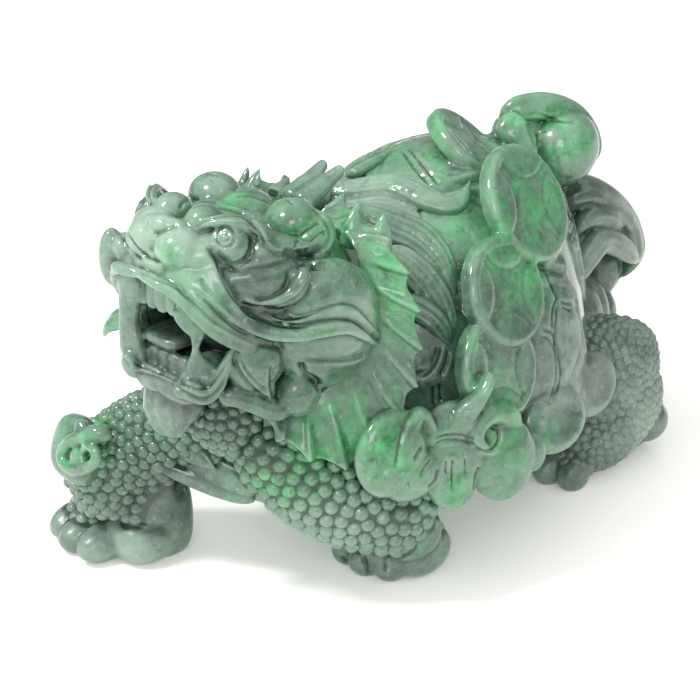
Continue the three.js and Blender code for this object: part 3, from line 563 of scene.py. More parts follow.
def mane(side):
    """Grooved locks that sweep back over the shell; the far side has only the lower three."""

    def tress(marks, widths, depths, grooves):
        spots, normals = over_shell(*marks)
        fine = {"sides": 60, "rings": 70, "cut": 0.75, "square": 2.4}
        return lock(spots, widths, depths, normals, side, grooves=grooves, **fine)

    crown = [(330, 206, 6), (350, 203, 4), (370, 196, 2.6), (390, 191, 2), (410, 195, 1.6), (430, 205, 1.6),
             (448, 210, 1.8), (460, 205, 2.2), (468, 187, 2.6)]
    lower_crown = [(x - 6, y + 17, lift - 0.6) for x, y, lift in crown[:6]]
    strand = [(424, 148, 0.6), (400, 152, 0.8), (376, 166, 1.6), (352, 186, 3)]
    second = [(366, 232, 9), (383, 235, 6.5), (400, 238, 4.6), (420, 245, 3.2), (438, 262, 2.2),
              (448, 280, 1.6), (454, 300, 1)]
    third = [(386, 272, 11), (402, 272, 8.4), (416, 281, 6.4), (430, 296, 4.8), (442, 316, 3), (450, 346, 1)]
    fourth = [(402, 306, 10), (416, 311, 7.4), (430, 319, 5.2), (441, 331, 3.2), (447, 346, 1.2)]
    upper = [] if side < 0 else [
        tress(crown, (3, 2.6, 2.6, 2.8, 3.1, 3.1, 2.4, 1.7, 0.4), (2.4, 2.2, 2, 2, 2, 1.8, 1.6, 1.4, 0.6), 5),
        tress(lower_crown, (3, 3, 3, 2.8, 2.2, 0.5), (2, 2, 1.8, 1.6, 1.4, 0.6), 4),
        tress(strand, (0.6, 2, 2.8, 2.6), (0.6, 1.2, 1.6, 1.8), 3),
    ]
    return upper + [
        tress(second, (3, 3.6, 4, 4, 3.4, 2.2, 0.5), (2.2, 2.2, 2, 2, 1.8, 1.4, 0.7), 5),
        tress(third, (2.6, 3.4, 3.7, 3.4, 2.5, 0.5), (2.2, 2.2, 2, 1.8, 1.6, 0.7), 5),
        tress(fourth, (2, 2.6, 2.6, 2, 0.5), (2, 2, 1.8, 1.4, 0.7), 3),
    ]


COLLAR_SPIKES = [
    [(352, 250, 15.5), (355, 222, 15), (358, 201, 14)],
    [(378, 258, 20), (381, 236, 20), (384, 212, 19.5)],
]


def collar_and_mane():
    """Both halves of the collar and mane, and the spikes at the collar's root."""
    forms = [frill(1), frill(-1), *mane(1), *mane(-1)]
    for side in (1, -1):
        for marks in COLLAR_SPIKES:
            forms.append(lock(at_x(*marks), (3, 2.4, 0.3), (1.8, 1.4, 0.4), (0.8, -0.5, 0.3), side))
    return forms


# Head

FAR_LIP = 0.84  # the far side of the lower lip is drawn in by this share
MUZZLE = [(168, 262, -6), (182, 278, -3.4), (198, 295, -1), (216, 313, 0.4), (238, 330, 0.4), (262, 345)]
POUCH = [(238, 296, 0.6), (256, 303, 1), (276, 301, 1.2), (293, 294, 1.2), (302, 280, 1), (303, 266, 0.4)]
LONG_BAND = [(196, 252, -3.4), (206, 271, -1.2), (219, 292, 0.6), (235, 312, 1.5), (253, 328, 2),
             (272, 334, 2), (292, 336, 1.8), (312, 334, 1.6), (333, 330, 1.4), (350, 330, 0.8),
             (366, 337, -0.4), (380, 346, -2.4)]
UPPER_BAND = [(262, 313, 0.8), (282, 320, 1.2), (303, 320, 1.2), (326, 313, 1), (345, 310, 0.4),
              (360, 316, -0.4), (374, 328, -1.6), (380, 338, -2.6)]
BROW_LEAF = [(298, 252, -8.4), (305, 240, -8.6), (314, 227, -9.6), (316, 214, -11)]
JAW_STRAND = [(218, 396, -0.6), (234, 397, -0.4), (252, 403, 0), (272, 410, 0.3), (290, 410, 0.2)]
JAW_LEAF = [(236, 354, 0.2), (252, 372, 0.5), (264, 384, 0.5), (273, 400, 0)]
JAW_CURL = (298, 392, -1.8)
UPPER_LIP = [(170, 290, -0.4), (185, 303, 0.8), (198, 316, 1.2), (212, 329, 1.2), (228, 339, 1.2),
             (247, 347, 1), (266, 354, 0.8), (283, 359, 0.5)]
LOWER_LIP = [(186, 388, 0.2), (204, 395, 0.4), (215, 388, 0.6), (222, 374, 0.6), (228, 360, 0.6),
             (232, 348, 0.4)]


def face(side):
    """Cheek, jaw and snout of one side of the head."""

    def band(marks, widths, depths, **more):
        return lock(near(*marks), widths, depths, SIDE_OUT, side, **more)

    lower_lip = np.array([(-2, -80.8, 55), (7, -80.6, 54.8), *near(*LOWER_LIP)])
    if side < 0:
        lower_lip[:, 0] *= FAR_LIP
    return [
        # Cheek, snout and the pouch under the eye.
        ball((19.5, -54.6, 65), (7.5, 12.2, 13.8), turn=(0, 0, -18), side=side),
        band(MUZZLE, (3.4, 4.4, 4.6, 3.4, 2.4, 1.6), (2.4, 3.2, 3.6, 3.6, 3, 2)),
        lock([(8, -76, 79), (13, -72, 72), (17, -64, 66)], (6, 6.5, 6), (3, 4, 4), (1, -0.5, 0), side),
        ball((8, -73, 81.5), (5, 9, 5.5), turn=(0, 0, -25), side=side),
        ball((14.6, -68, 77.5), (3.6, 9, 5), turn=(0, 0, -28), side=side),
        band(POUCH, (0.8, 1.2, 1.6, 2, 2, 1.6), (1, 1.4, 1.6, 1.8, 1.8, 1.4)),
        # Bands that sweep back over the cheek.
        band(LONG_BAND, (2.6, 3, 2.6, 1.9, 1.5, 1.4, 1.4, 1.4, 1.3, 1.2, 1, 0.4),
             (1, 1.6, 2, 2, 2, 2, 2, 2, 2, 1.8, 1.6, 1), square=3),
        band(UPPER_BAND, (0.5, 0.9, 1.1, 1.2, 1.2, 1, 0.8, 0.4), (1, 1.4, 1.6, 1.6, 1.6, 1.4, 1.2, 0.8),
             square=3),
        # Eye and brow.
        ball((10.7, -70.8, 84.3), (4.4, 4.6, 4.6), side=side),
        ball((4.5, -72, 88), (3.5, 4, 3.2), side=side),
        lock([(5, -75.5, 87.2), (9, -73.4, 89.4), (13, -69, 88.6), (15.5, -64.5, 85), (18.5, -60.5, 83.5),
              (20, -58, 83)],
             (0.8, 1.1, 1.5, 1.8, 1.6, 0.8), (0.8, 1.1, 1.5, 1.6, 1.4, 0.8), (0.6, 0, 1), side),
        ball((14.2, -65.5, 82.5), (3.6, 4.2, 3.4), side=side),
        ball((11, -54.8, 84.4), (5.7, 5.4, 4.6), side=side),
        band(BROW_LEAF, (2.2, 3.2, 3.6, 2.6), (3, 4, 4, 3), grooves=3, cut=0.4),
        ball((14.5, -52.5, 81.5), (4.4, 5, 5.4), side=side),
        # Nose.
        ball((4.1, -77.9, 83.5), (5, 5.3, 4.8), turn=(0, 14, 0), side=side),
        # Jaw: the curl, the strand that runs into it and the leaf above it.
        band(JAW_STRAND, (2.2, 2, 2, 2.2, 2.2), (2, 2, 2, 2.2, 2.2)),
        ball(near(JAW_CURL)[0], (4.4, 5, 5), side=side),
        band(JAW_LEAF, (2.2, 3.2, 2.6, 0.7), (1.6, 1.8, 1.6, 1)),
        ball((15, -69.5, 60), (4.6, 6, 6), turn=(0, 0, -25), side=side),
        # Upper lip, from the middle of the snout to its end above the curl.
        lock([(-2, -84.6, 79.6), (5.4, -85, 79.2), *near(*UPPER_LIP)],
             (1.1, 1.2, 1.2, 1.2, 1.3, 1.5, 1.5, 1.4, 1.2, 0.7),
             (1.1, 1.2, 1.3, 1.4, 1.4, 1.4, 1.4, 1.3, 1.1, 0.6), (0.8, -0.6, -0.1), side, square=3),
        # Lower lip, which turns up into the corner of the mouth.
        lock(lower_lip, (2.6, 2.6, 2.5, 2.3, 2, 1.6, 1.3, 1), (1.6, 1.6, 1.6, 1.7, 1.8, 1.8, 1.6, 1.4),
             (0.7, -0.7, 0), side, square=3),
    ]


SPIKE_TIP = 0.25


def spike(base, tip, wide, deep, facing):
    """A fang: a flat-sided spike that tapers evenly."""
    base, tip = np.array(base, float), np.array(tip, float)
    steps = np.linspace(0, 1, 5)[:, None]
    taper = 1 - steps[:, 0]
    route = base + (tip - base) * steps
    return lock(route, wide * taper + SPIKE_TIP, deep * taper + SPIKE_TIP, facing, cap=0.08, square=2.6)


def block(middle, size, square=5):
    """A tooth or a bar with rounded edges."""
    points, faces = sphere(24, 16)
    swell = (np.abs(points) ** square).sum(axis=1) ** (-1 / square)
    return points * swell[:, None] * np.array(size) / 2 + middle, faces


UPPER_FANG = [(188, 304, -1), (192, 318, -1), (197, 333, -1.2), (196, 344, -1.3), (195, 351, -1.4)]
LOWER_FANG = [(199, 380, -1), (199, 371, -1.1), (197, 361, -1.2), (196, 353, -1.3), (195, 346, -1.4)]
FANG_ROOT = (208, 368, -3.2)
TOOTH_GAP = 2.9


def teeth():
    """A pair of fangs on each side, and five teeth above and below between them."""
    forms = []
    for side in (1, -1):
        out = (0.8, -0.6, 0)
        for marks, widths in ((UPPER_FANG, (3.4, 3.3, 2.4, 1.2, 0.5)), (LOWER_FANG, (4, 3.6, 2.2, 1.1, 0.5))):
            depths = [0.6 + 0.3 * wide for wide in widths]
            forms.append(lock(near(*marks), widths, depths, out, side, cap=0.06, square=2.6))
        forms.append(ball(near(FANG_ROOT)[0], (3, 4, 3.4), side=side))
    for step in (-2.5, -1.5, -0.5, 0.5, 1.5):
        forms.append(block((TOOTH_GAP * step, -80.6 + 0.1 * step**2, 74.5), (2.6, 2.4, 8)))
        forms.append(block((TOOTH_GAP * step, -78.2 + 0.1 * step**2, 58.8), (2.7, 2.4, 4)))
    return forms


HORN_RIBS = [(298, 206, 1.4), (316, 191, 1.8), (338, 172, 2.4)]
HORN = [(296, 208, 1.4), (316, 191, 1.8), (340, 170, 2.4)]
CREST_SPIKE = [(278, 198, -6), (289, 176, -7)]
NOSTRIL_FOLD = [(120, 234, -10), (128, 248, -9), (142, 259, -7), (158, 267, -4.6)]
CHIN_TUFT = [(180, 380, -2), (174, 392, -2), (173, 408, -1), (175, 424, 0), (181, 438, 1.5)]


def head():
    """The whole head: skull, horns, nose, jaws, tongue and tufts, then both faces and the teeth."""
    forms = [
        ball((0, -51, 68), (20, 16, 16)),
        ball((0, -50, 57), (18, 16, 9)),
        lock([(0, -50, 75), (0, -66, 79.5), (0, -83.5, 79.8)], (18, 13.5, 8), (10, 8, 4), (0, 0, 1)),
        ball((0, -57, 83), (6.5, 7, 5.8)),
        # Ribbed horns that lie back over the neck, with two knobs beside them.
        *[ball(spot, (3.8 - 0.24 * i, 0.9, 3.8 - 0.24 * i), turn=(-35, 0, 0), side=side) for side in (1, -1)
          for i, spot in enumerate(spline(at_x(*HORN_RIBS), 10))],
        *[lock(at_x(*HORN), (3.1, 2.3, 0.5), (3.1, 2.3, 0.5), (0, 0, 1), side)
          for side in (1, -1)],
        spike((-5.5, -49, 79.5), (-7, -46, 88), 2.6, 2.4, (1, -0.4, 0)),
        spike(*at_x(*CREST_SPIKE), 3, 2.4, (1, -0.4, 0)),
        ball((-12.6, -81, 78.2), (2.4, 3, 6.2)),
        ball((-5, -76.2, 85), (5.2, 4.6, 4.4), turn=(0, -12, 0)),
        lock([(-4.4, -79, 87.2), (-0.5, -78.6, 87.6), (4.6, -76.6, 87)], (1.8, 2.2, 1.8), (1.6, 2, 1.6),
             (0, -0.5, 1)),
        ball((-1.4, -77.4, 84.8), (3.8, 4.2, 4)),
        ball((1.6, -76.8, 84.8), (4, 4.6, 3.9)),
        # Fold of the nostril beside the far lobe.
        lock(at_x(*NOSTRIL_FOLD), (2.4, 3.2, 3.2, 2), (2.6, 3, 3, 2), (0.3, -0.9, 0.4)),
        # Lower jaw, throat and tongue.
        lock([(0, -52, 55.5), (0, -66, 54.5), (0, -79, 55.6)], (18, 15.5, 11), (7, 5, 2.8), (0, 0, 1)),
        ball((0, -64, 66), (12, 9, 9)),
        block((-2.4, -73.4, 62.6), (10.6, 13, 2.8), square=4),
        # Flesh that closes the far side of the mouth, and the whisker behind it.
        lock([(-5, -82.6, 77), (-7.6, -81.4, 71), (-8.8, -80.8, 65), (-8.6, -80.4, 59), (-7, -80.2, 55.5)],
             (3.4, 2.6, 2.2, 2.8, 3.6), (1.6, 1.4, 1.4, 1.6, 1.8), (0.2, -1, 0), square=2.6),
        lock([(-18, -61, 58), (-24, -68, 57.5), (-28, -70.5, 55), (-30.5, -70.5, 51)], (4, 4.2, 3, 0.6),
             (1.6, 1.6, 1.4, 0.6), (0, -0.5, 1), grooves=3),
        # Tuft under the chin.
        lock(at_x(*CHIN_TUFT), (5, 6.2, 6.4, 5, 1.2),
             (3, 3, 2.6, 2, 1), (0.5, -0.85, 0.1), grooves=5, cut=0.6, square=2.4, sides=44),
        lock([(-8, -64, 50), (-12, -67, 40), (-9, -68, 33), (0, -67, 29)], (3, 4.4, 4, 0.8),
             (2, 2, 1.6, 0.8), (0.3, -1, 0.3), grooves=3),
    ]
    for side in (1, -1):
        forms += face(side)
    return forms + teeth()


def circle(x, y, radius):
    """A closed round line in the photograph."""
    turns = np.linspace(0, 2 * math.pi, 19)
    return [(x + radius * math.cos(a), y + radius * math.sin(a)) for a in turns]


# Cuts on the head: kind, half-width and depth in millimetres, then the line's pixels.
HEAD_CUTS = [
    # Upper and lower edge of the long band, the fold above it and the edge of the pouch.
    ("ledge", 1.6, 1.2, (380, 346), (368, 334), (354, 324), (340, 322), (320, 324), (300, 328), (282, 328),
     (266, 323), (250, 316), (239, 306), (230, 295), (222, 279), (215, 262), (204, 246)),
    ("ledge", 1.4, 0.9, (206, 296), (224, 314), (240, 329), (260, 338), (280, 342), (302, 342), (326, 338),
     (348, 335), (362, 340), (378, 347)),
    ("ledge", 1.6, 0.8, (380, 336), (372, 324), (358, 310), (344, 306), (326, 310), (302, 318), (280, 318),
     (262, 312)),
    ("ledge", 1.6, 1.1, (240, 300), (256, 306), (276, 306), (292, 300), (304, 288), (309, 274), (309, 262)),
    ("groove", 0.5, 0.5, (288, 270), (288, 280), (283, 290), (270, 297), (254, 299)),
    ("ledge", 1.6, 0.7, (378, 348), (356, 360), (330, 362), (302, 362)),
    ("ledge", 1.4, 1.0, (224, 266), (240, 269), (254, 265), (270, 264), (288, 258)),
    # Eye.
    ("groove", 0.9, 0.6, (250, 228), (253, 240), (249, 254), (240, 264), (228, 265), (217, 257), (209, 246)),
    ("groove", 0.36, 0.5, *circle(225, 237, 10)),
    ("groove", 0.34, 0.35, *circle(224, 237, 5)),
    ("groove", 0.35, 0.5, (196, 228), (204, 221), (218, 217), (230, 215), (244, 217), (254, 224), (260, 236)),
    ("ledge", 1.2, 0.8, (216, 205), (234, 209), (250, 217), (260, 231), (266, 244), (278, 252), (290, 254)),
    # Bridge of the nose and the ridged knob.
    ("groove", 0.4, 0.5, (180, 210), (184, 202), (194, 199), (208, 204)),
    ("groove", 0.35, 0.45, (230, 190), (250, 188), (270, 194), (284, 203)),
    ("groove", 0.35, 0.45, (242, 187), (262, 188), (280, 196), (294, 204)),
    ("groove", 0.35, 0.45, (234, 196), (252, 196), (268, 202), (276, 208)),
    # Nose.
    ("groove", 0.9, 0.4, (178, 224), (170, 227), (161, 231), (153, 234)),
    ("groove", 0.5, 0.6, (119, 232), (125, 244), (133, 254), (143, 261)),
    ("groove", 0.5, 0.7, (125, 230), (131, 241), (139, 251), (150, 258), (162, 264)),
    # Lips.
    ("ledge", 0.9, 0.6, (284, 353), (269, 349), (247, 342), (226, 331), (210, 321), (197, 309), (185, 298),
     (176, 289), (156, 280), (136, 273), (120, 272)),
    ("ledge", 0.9, 0.5, (283, 350), (262, 343), (240, 333), (220, 318), (205, 303), (188, 289)),
    ("groove", 0.4, 0.5, (133, 363), (150, 369), (170, 377), (190, 387), (205, 388), (216, 378), (227, 362)),
    ("groove", 0.4, 0.5, (134, 372), (156, 377), (172, 384), (190, 395), (205, 399), (216, 392), (228, 376)),
    # Jaw.
    ("groove", 0.45, 0.6, (233, 356), (238, 370), (250, 386), (262, 396), (273, 401)),
    ("groove", 0.35, 0.4, (241, 358), (246, 370), (256, 382), (266, 391)),
    ("ledge", 1.2, 1.0, (273, 401), (270, 385), (270, 366)),
    ("groove", 0.7, 1.3, (301, 362), (303, 373), (311, 378), (318, 383), (320, 392)),
    # Leaf behind the brow, and the tuft.
    ("groove", 0.4, 0.5, (294, 252), (298, 240), (308, 230), (320, 222)),
    ("groove", 0.4, 0.5, (303, 255), (308, 245), (317, 236), (326, 230)),
    ("ledge", 1.0, 0.7, (308, 206), (320, 213), (329, 226), (330, 240), (321, 252), (306, 259), (293, 261)),
]


# Legs and tail

FRONT_LEFT = [(4, -61, 39), (9.5, -59.5, 34.5), (14.5, -54.5, 28.5), (20.8, -48, 23.2), (27, -40, 20),
              (30.5, -34.5, 16)]
CHEST = [(-14, -58, 42), (-6, -62, 44), (1, -64, 43), (8, -60, 38)]
CHEST_WIDTH = (6, 8.5, 9, 8)
FRONT_RIGHT = [(4, -60, 38), (12, -62.5, 35), (20, -66, 30), (27, -70, 23), (28.6, -71, 16), (28.6, -71, 9.6)]
FRONT_LEFT_WIDTH = (7, 9, 10.4, 10.8, 10.6, 8.6)
FRONT_RIGHT_WIDTH = (8, 9, 9.4, 9.8, 9.6, 9)
ELBOW = [(35, -71.5, 21), (35, -71.5, 12)]
ELBOW_WIDTH = (6.6, 6.6)
HIND_LIMB = [(22, 24, 8.5), (28, 28, 10.5), (30, 37, 17), (27, 44, 24)]
HIND_WIDTH = (8, 9.5, 9.5, 7)
THIGH = [(24, 24, 14), (25, 30, 20), (25, 38, 27), (22, 44, 33)]
THIGH_WIDTH = (9, 12.5, 12.5, 8)
HIND_KNOB = np.array((31.6, 45.6, 8.8))
BARE_KNOB = 7  # no beads within this distance of the knob's middle

LEFT_TOES = [(13.5, -39.5, 3.7), (19.2, -40.4, 3.8), (24.6, -38.6, 4)]
RIGHT_TOES = [(-40, -73.8, 3.6), (-34.2, -75.8, 3.6), (-27.4, -76.2, 4.2)]
HIND_TOES = [(30, 19, 3.6), (24, 17.5, 3.6), (18, 19, 3.6)]


def front_paws():
    """Left and right front paw."""
    return [
        # Left paw, folded under the forearm.
        ball((22.5, -33.5, 6), (9, 11, 6)),
        ball((25.5, -36.5, 12), (8.5, 8, 7)),
        *[ball(toe, (4.2, 5.6, 4.2)) for toe in LEFT_TOES],
        ball((27.8, -33, 5.6), (5, 8, 5.6)),
        # Right paw, set forward: the flat-topped pad, three toes beside it and the wrist.
        block((-23, -68.6, 5.5), (16.8, 17.8, 11), square=2.8),
        block((-20.6, -64.6, 9.5), (12.4, 11, 21), square=3),
        block((-31, -69, 5), (18, 14, 10), square=2.6),
        lock([(-24.5, -64, 26), (-23.5, -66, 16), (-23.5, -67, 8)], (8.4, 8.6, 8.8), (8.4, 8.6, 8.8),
             (0, -1, 0)),
        *[ball(toe, (4.5, 7.4, 4.3)) for toe in RIGHT_TOES],
    ]


CURL_FACE = np.array((-0.1, -0.9, 0.34))
CURL_MIDDLE = (80, 450, -31.5)
CURL_KNOB = (82, 426, 3.6)
CURL_HEART = (79, 459, 3.7)
CURL_WINDING = [(114, 438, 0), (99, 434, 3), (84, 436, 3.8), (70, 442, 4), (62, 454, 4), (66, 465, 4),
                (79, 470, 4), (92, 465, 4), (97, 455, 4), (90, 447, 4.2), (82, 451, 4.2), (84, 457, 4.2)]


def elbow_curl():
    """Scroll on the forward elbow: a thick disc on which a band winds inwards."""
    middle = at_x(CURL_MIDDLE)[0]
    across, upright, normal = frame_of(CURL_FACE, (0, 0, 1))
    winding = on_plane(middle, CURL_FACE, *CURL_WINDING)
    knob, heart = on_plane(middle, CURL_FACE, CURL_KNOB, CURL_HEART)
    points, faces = block((0, 0, 0), (17, 14.6, 7), square=3)
    return [
        moved((points, faces), middle, across, upright, normal),
        ball(knob, (1.9, 1.6, 1.6)),
        ball(heart, (2.5, 1.7, 2.5)),
        lock(winding, (2.4, 2.3, 1.9, 1.6, 1.5, 1.5, 1.5, 1.4, 1.3, 1.2, 1.1, 0.9),
             (2, 2, 1.7, 1.5, 1.4, 1.4, 1.4, 1.4, 1.3, 1.2, 1.1, 1), CURL_FACE),
    ]


def hind_leg(side):
    """Bent hind leg with its thigh, paw, toes and the knob behind it."""
    return [
        lock(THIGH, THIGH_WIDTH, THIGH_WIDTH, (0, 0, 1), side),
        lock(HIND_LIMB, HIND_WIDTH, HIND_WIDTH, (0, 0, 1), side),
        ball((24, 24, 6), (9.5, 8, 6.4), side=side),
        ball((28, 45.5, 8), (6, 6.4, 8), side=side),
        ball(HIND_KNOB, (5.8, 5.8, 5.8), side=side),
        *[ball(toe, (3.8, 4.4, 4.4), side=side) for toe in HIND_TOES],
    ]


TAIL_OUTER = [(556, 205, 6), (580, 194, 7), (604, 204, 8), (622, 226, 8), (630, 254, 8), (622, 278, 8)]
TAIL_CURL = [(636, 262, 11), (620, 246, 13), (602, 240, 14.5), (590, 254, 15.5), (578, 272, 16.5),
             (560, 290, 18)]
TAIL_FOLD = [(574, 236, 12), (586, 220, 12.5), (602, 216, 12.5), (620, 226, 12)]


def tail():
    """Bushy tail: broad grooved locks that rise behind the shell and curl over."""
    out = unit(np.array((0.8, -0.5, 0.3)))

    def tress(marks, widths, depths, grooves=4):
        return lock(at_x(*marks), widths, depths, out, grooves=grooves, sides=44, cut=0.6)

    return [
        tress(TAIL_OUTER, (5, 5, 4.6, 4.4, 4, 2), (7, 7, 6.5, 6, 5, 3)),
        tress(TAIL_CURL, (1.6, 2.8, 3.4, 3.2, 2.6, 0.6), (2, 3, 3.4, 3, 2.6, 1), 3),
        tress(TAIL_FOLD, (1, 3, 3.4, 1.6), (2, 3, 3.4, 2), 3),
        lock([(1, 42, 40), (-1, 52, 50), (-2, 61, 48), (-3, 66, 40), (-3, 64, 31)], (7, 7, 6.4, 5, 2.4),
             (7, 6.6, 6, 4.8, 2.4), (1, 0, 0), grooves=4),
        lock([(-6, 40, 40), (-8, 48, 47), (-10, 56, 44), (-10, 60, 35)], (6, 6, 5, 2), (6, 5.6, 4.8, 2),
             (1, 0, 0), grooves=3),
        ball((4, 46, 30), (14, 9, 13)),
        ball((4, 42, 46), (10, 8, 14)),
        ball((0, 57, 44), (6, 6, 9)),
        ball((0, 64.5, 34.7), (8, 8.5, 9.5)),
        ball((2, 61, 23.4), (8, 7, 8)),
    ]


BREAST_EDGE = [(150, 458, -15), (170, 468, -11), (192, 477, -7), (216, 487, -3), (238, 495, 1), (256, 501, 5)]
BREAST_LEAF = [(146, 410, -18), (158, 432, -15), (176, 445, -12), (202, 458, -8)]


def legs_and_tail():
    """All four legs, the elbow's scroll, the breast and the tail."""
    return [
        lock(FRONT_LEFT, FRONT_LEFT_WIDTH, FRONT_LEFT_WIDTH, (0, 0, 1), cap=0.16),
        lock(FRONT_RIGHT, FRONT_RIGHT_WIDTH, FRONT_RIGHT_WIDTH, (0, 0, 1), -1, cap=0.12),
        lock(ELBOW, ELBOW_WIDTH, ELBOW_WIDTH, (0, -1, 0), -1, cap=0.45),
        lock(CHEST, CHEST_WIDTH, CHEST_WIDTH, (0, 0, 1), cap=0.2),
        *front_paws(),
        *elbow_curl(),
        # Lower edge of the breast, and the blade above it.
        lock(at_x(*BREAST_EDGE), (1.4, 2, 2.3, 2.3, 2, 1.4), (1.4, 1.8, 2, 2, 2, 1.4), (0.5, -0.8, 0.2)),
        lock([(-10, -66, 31), (-3, -62, 27), (5, -58, 24)], (4, 5, 4), (4, 5, 4), (0, 0, 1)),
        lock(at_x(*BREAST_LEAF), (0.8, 2.2, 2.2, 0.5), (1.4, 1.8, 1.8, 0.6), (0.3, -0.9, 0.3)),
        *hind_leg(1),
        *hind_leg(-1),
        *tail(),
    ]


# Cuts on the left paw, between its toes.
LEG_CUTS = [
    ("groove", 0.5, 0.6, (342, 556), (345, 564), (348, 572)),
    ("groove", 0.5, 0.6, (362, 556), (366, 566), (370, 578)),
    ("groove", 0.5, 0.6, (388, 552), (384, 562), (386, 574)),
]


# Cuts on the shell, the coins and the sceptre head.
SHELL_CUTS = [
    ("ledge", 1.4, 0.8, (441, 346), (439, 356), (432, 370), (422, 377), (414, 374)),
    ("groove", 0.5, 0.6, (433, 384), (433, 396), (434, 410)),
    ("groove", 0.5, 0.6, (439, 382), (440, 394), (442, 406)),
    ("groove", 0.5, 0.5, (448, 350), (446, 364), (440, 376)),
    ("groove", 0.5, 0.6, (537, 266), (545, 270), (550, 281), (556, 294), (560, 300)),
    ("groove", 0.5, 0.6, (560, 296), (554, 308), (553, 330)),
    ("groove", 0.5, 0.6, (541, 328), (547, 331), (553, 333), (559, 348), (562, 364), (560, 384), (553, 402)),
    ("groove", 0.4, 0.5, (539, 336), (548, 338), (555, 350), (557, 370), (555, 388), (546, 406)),
    ("ledge", 1.4, 0.7, (566, 386), (576, 362), (581, 340), (579, 320), (571, 301)),
    ("groove", 0.4, 0.6, (561, 301), (566, 303), (572, 304)),
    ("groove", 0.4, 0.6, (562, 306), (567, 309), (572, 311)),
    ("groove", 0.45, 0.6, (558, 302), (557, 324), (556, 346), (561, 364), (565, 384)),
    ("groove", 0.45, 0.5, (400, 149), (418, 172), (434, 190)),
    ("groove", 0.45, 0.5, (408, 148), (427, 170), (440, 187)),
    ("ledge", 1.4, 0.6, (556, 184), (547, 168), (537, 150), (529, 133), (525, 118)),
    ("groove", 0.45, 0.45, (526, 118), (535, 113), (547, 118), (560, 121), (576, 122)),
    ("groove", 0.35, 0.5, (434, 439), (446, 435), (460, 435), (474, 440)),
    ("groove", 0.35, 0.5, (434, 444), (446, 440), (462, 440), (476, 446)),
    ("groove", 0.3, 0.5, (446, 460), (446, 474)),
    ("groove", 0.3, 0.5, (453, 458), (452, 474), (452, 490)),
    ("groove", 0.3, 0.4, (465, 458), (465, 474)),
    ("groove", 0.35, 0.5, (414, 460), (418, 452), (423, 446)),
    ("groove", 0.35, 0.4, (420, 478), (424, 468), (432, 458)),
    ("ledge", 1.6, 0.7, (412, 410), (404, 434), (400, 452), (397, 468)),
    ("groove", 0.45, 0.7, (474, 447), (484, 452), (494, 448), (499, 438), (497, 429), (488, 428)),
    ("groove", 0.4, 0.6, (428, 488), (436, 480), (438, 468)),
    ("groove", 0.4, 0.6, (474, 490), (476, 476), (480, 466)),
]


def trunk():
    """The shell's dome, with the chest, breast, neck and rump under it."""
    return [
        dome(),
        ball((0, -47, 44), (18, 22, 22)),
        ball((0, -44, 27), (22, 15, 9)),
        ball((0, -52, 22), (14, 9, 4.5)),
        ball((0, -36, 64), (15, 10, 12)),
        ball((0, 36, 32), (22, 16, 14)),
    ]


# Fusing and polishing


def arrays(mesh):
    """A mesh's points, normals and edges as arrays."""
    points = np.empty(3 * len(mesh.vertices))
    mesh.vertices.foreach_get("co", points)
    normals = np.empty(3 * len(mesh.vertices))
    mesh.vertex_normals.foreach_get("vector", normals)
    edges = np.empty(2 * len(mesh.edges), int)
    mesh.edges.foreach_get("vertices", edges)
    return points.reshape(-1, 3), normals.reshape(-1, 3), edges.reshape(-1, 2)


def relaxed(points, edges, rounds):
    """Points drawn towards the mean of their neighbours."""
    count = len(points)
    a, b = edges.T
    degree = np.bincount(a, minlength=count) + np.bincount(b, minlength=count)
    result = points.copy()
    for _ in range(rounds):
        for axis in range(3):
            column = result[:, axis]
            total = np.bincount(a, column[b], count) + np.bincount(b, column[a], count)
            result[:, axis] = 0.5 * column + 0.5 * total / np.maximum(degree, 1)
    return result


def apply(piece, kind, **settings):
    """Adds a modifier to a piece and applies it."""
    bpy.ops.object.select_all(action="DESELECT")
    piece.select_set(True)
    bpy.context.view_layer.objects.active = piece
    modifier = piece.modifiers.new(kind.title(), kind)
    for name, value in settings.items():
        setattr(modifier, name, value)
    bpy.ops.object.modifier_apply(modifier=modifier.name)


def solid_piece(name, forms):
    """One object that holds several forms, in metres in the frame."""
    points, faces, start = [], [], 0
    for form_points, form_faces in forms:
        points.append(form_points)
        faces += [tuple(start + corner for corner in corners) for corners in form_faces]
        start += len(form_points)
    mesh = bpy.data.meshes.new(name)
    mesh.from_pydata(place(np.vstack(points)).tolist(), [], faces)
    piece = bpy.data.objects.new(name, mesh)
    bpy.context.scene.collection.objects.link(piece)
    return piece


def fuse(name, forms, voxel, polish=2):
    """Forms fused into one skin and softened by polishing."""
    piece = solid_piece(name, forms)
    apply(piece, "REMESH", mode="VOXEL", voxel_size=voxel * MM)
    points, _, edges = arrays(piece.data)
    piece.data.vertices.foreach_set("co", relaxed(points, edges, polish).ravel())
    piece.data.update()
    return piece


def thin(piece, most):
    """Folds small faces together until few enough triangles are left."""
    piece.data.calc_loop_triangles()
    count = len(piece.data.loop_triangles)
    if count > most:
        apply(piece, "DECIMATE", ratio=most / count)


# Carved lines

GAP = 2.2  # a line breaks where it jumps further than this between two forms
LEDGE_REACH, GROOVE_REACH = 3.2, 2.4  # how far a cut reaches, in half-widths
FADED_END = 0.12  # share of a line's length over which it fades out at each end
SNOUT_FRONT = -78.5  # lines in front of this are cut on one side alone, because the lips and nose differ


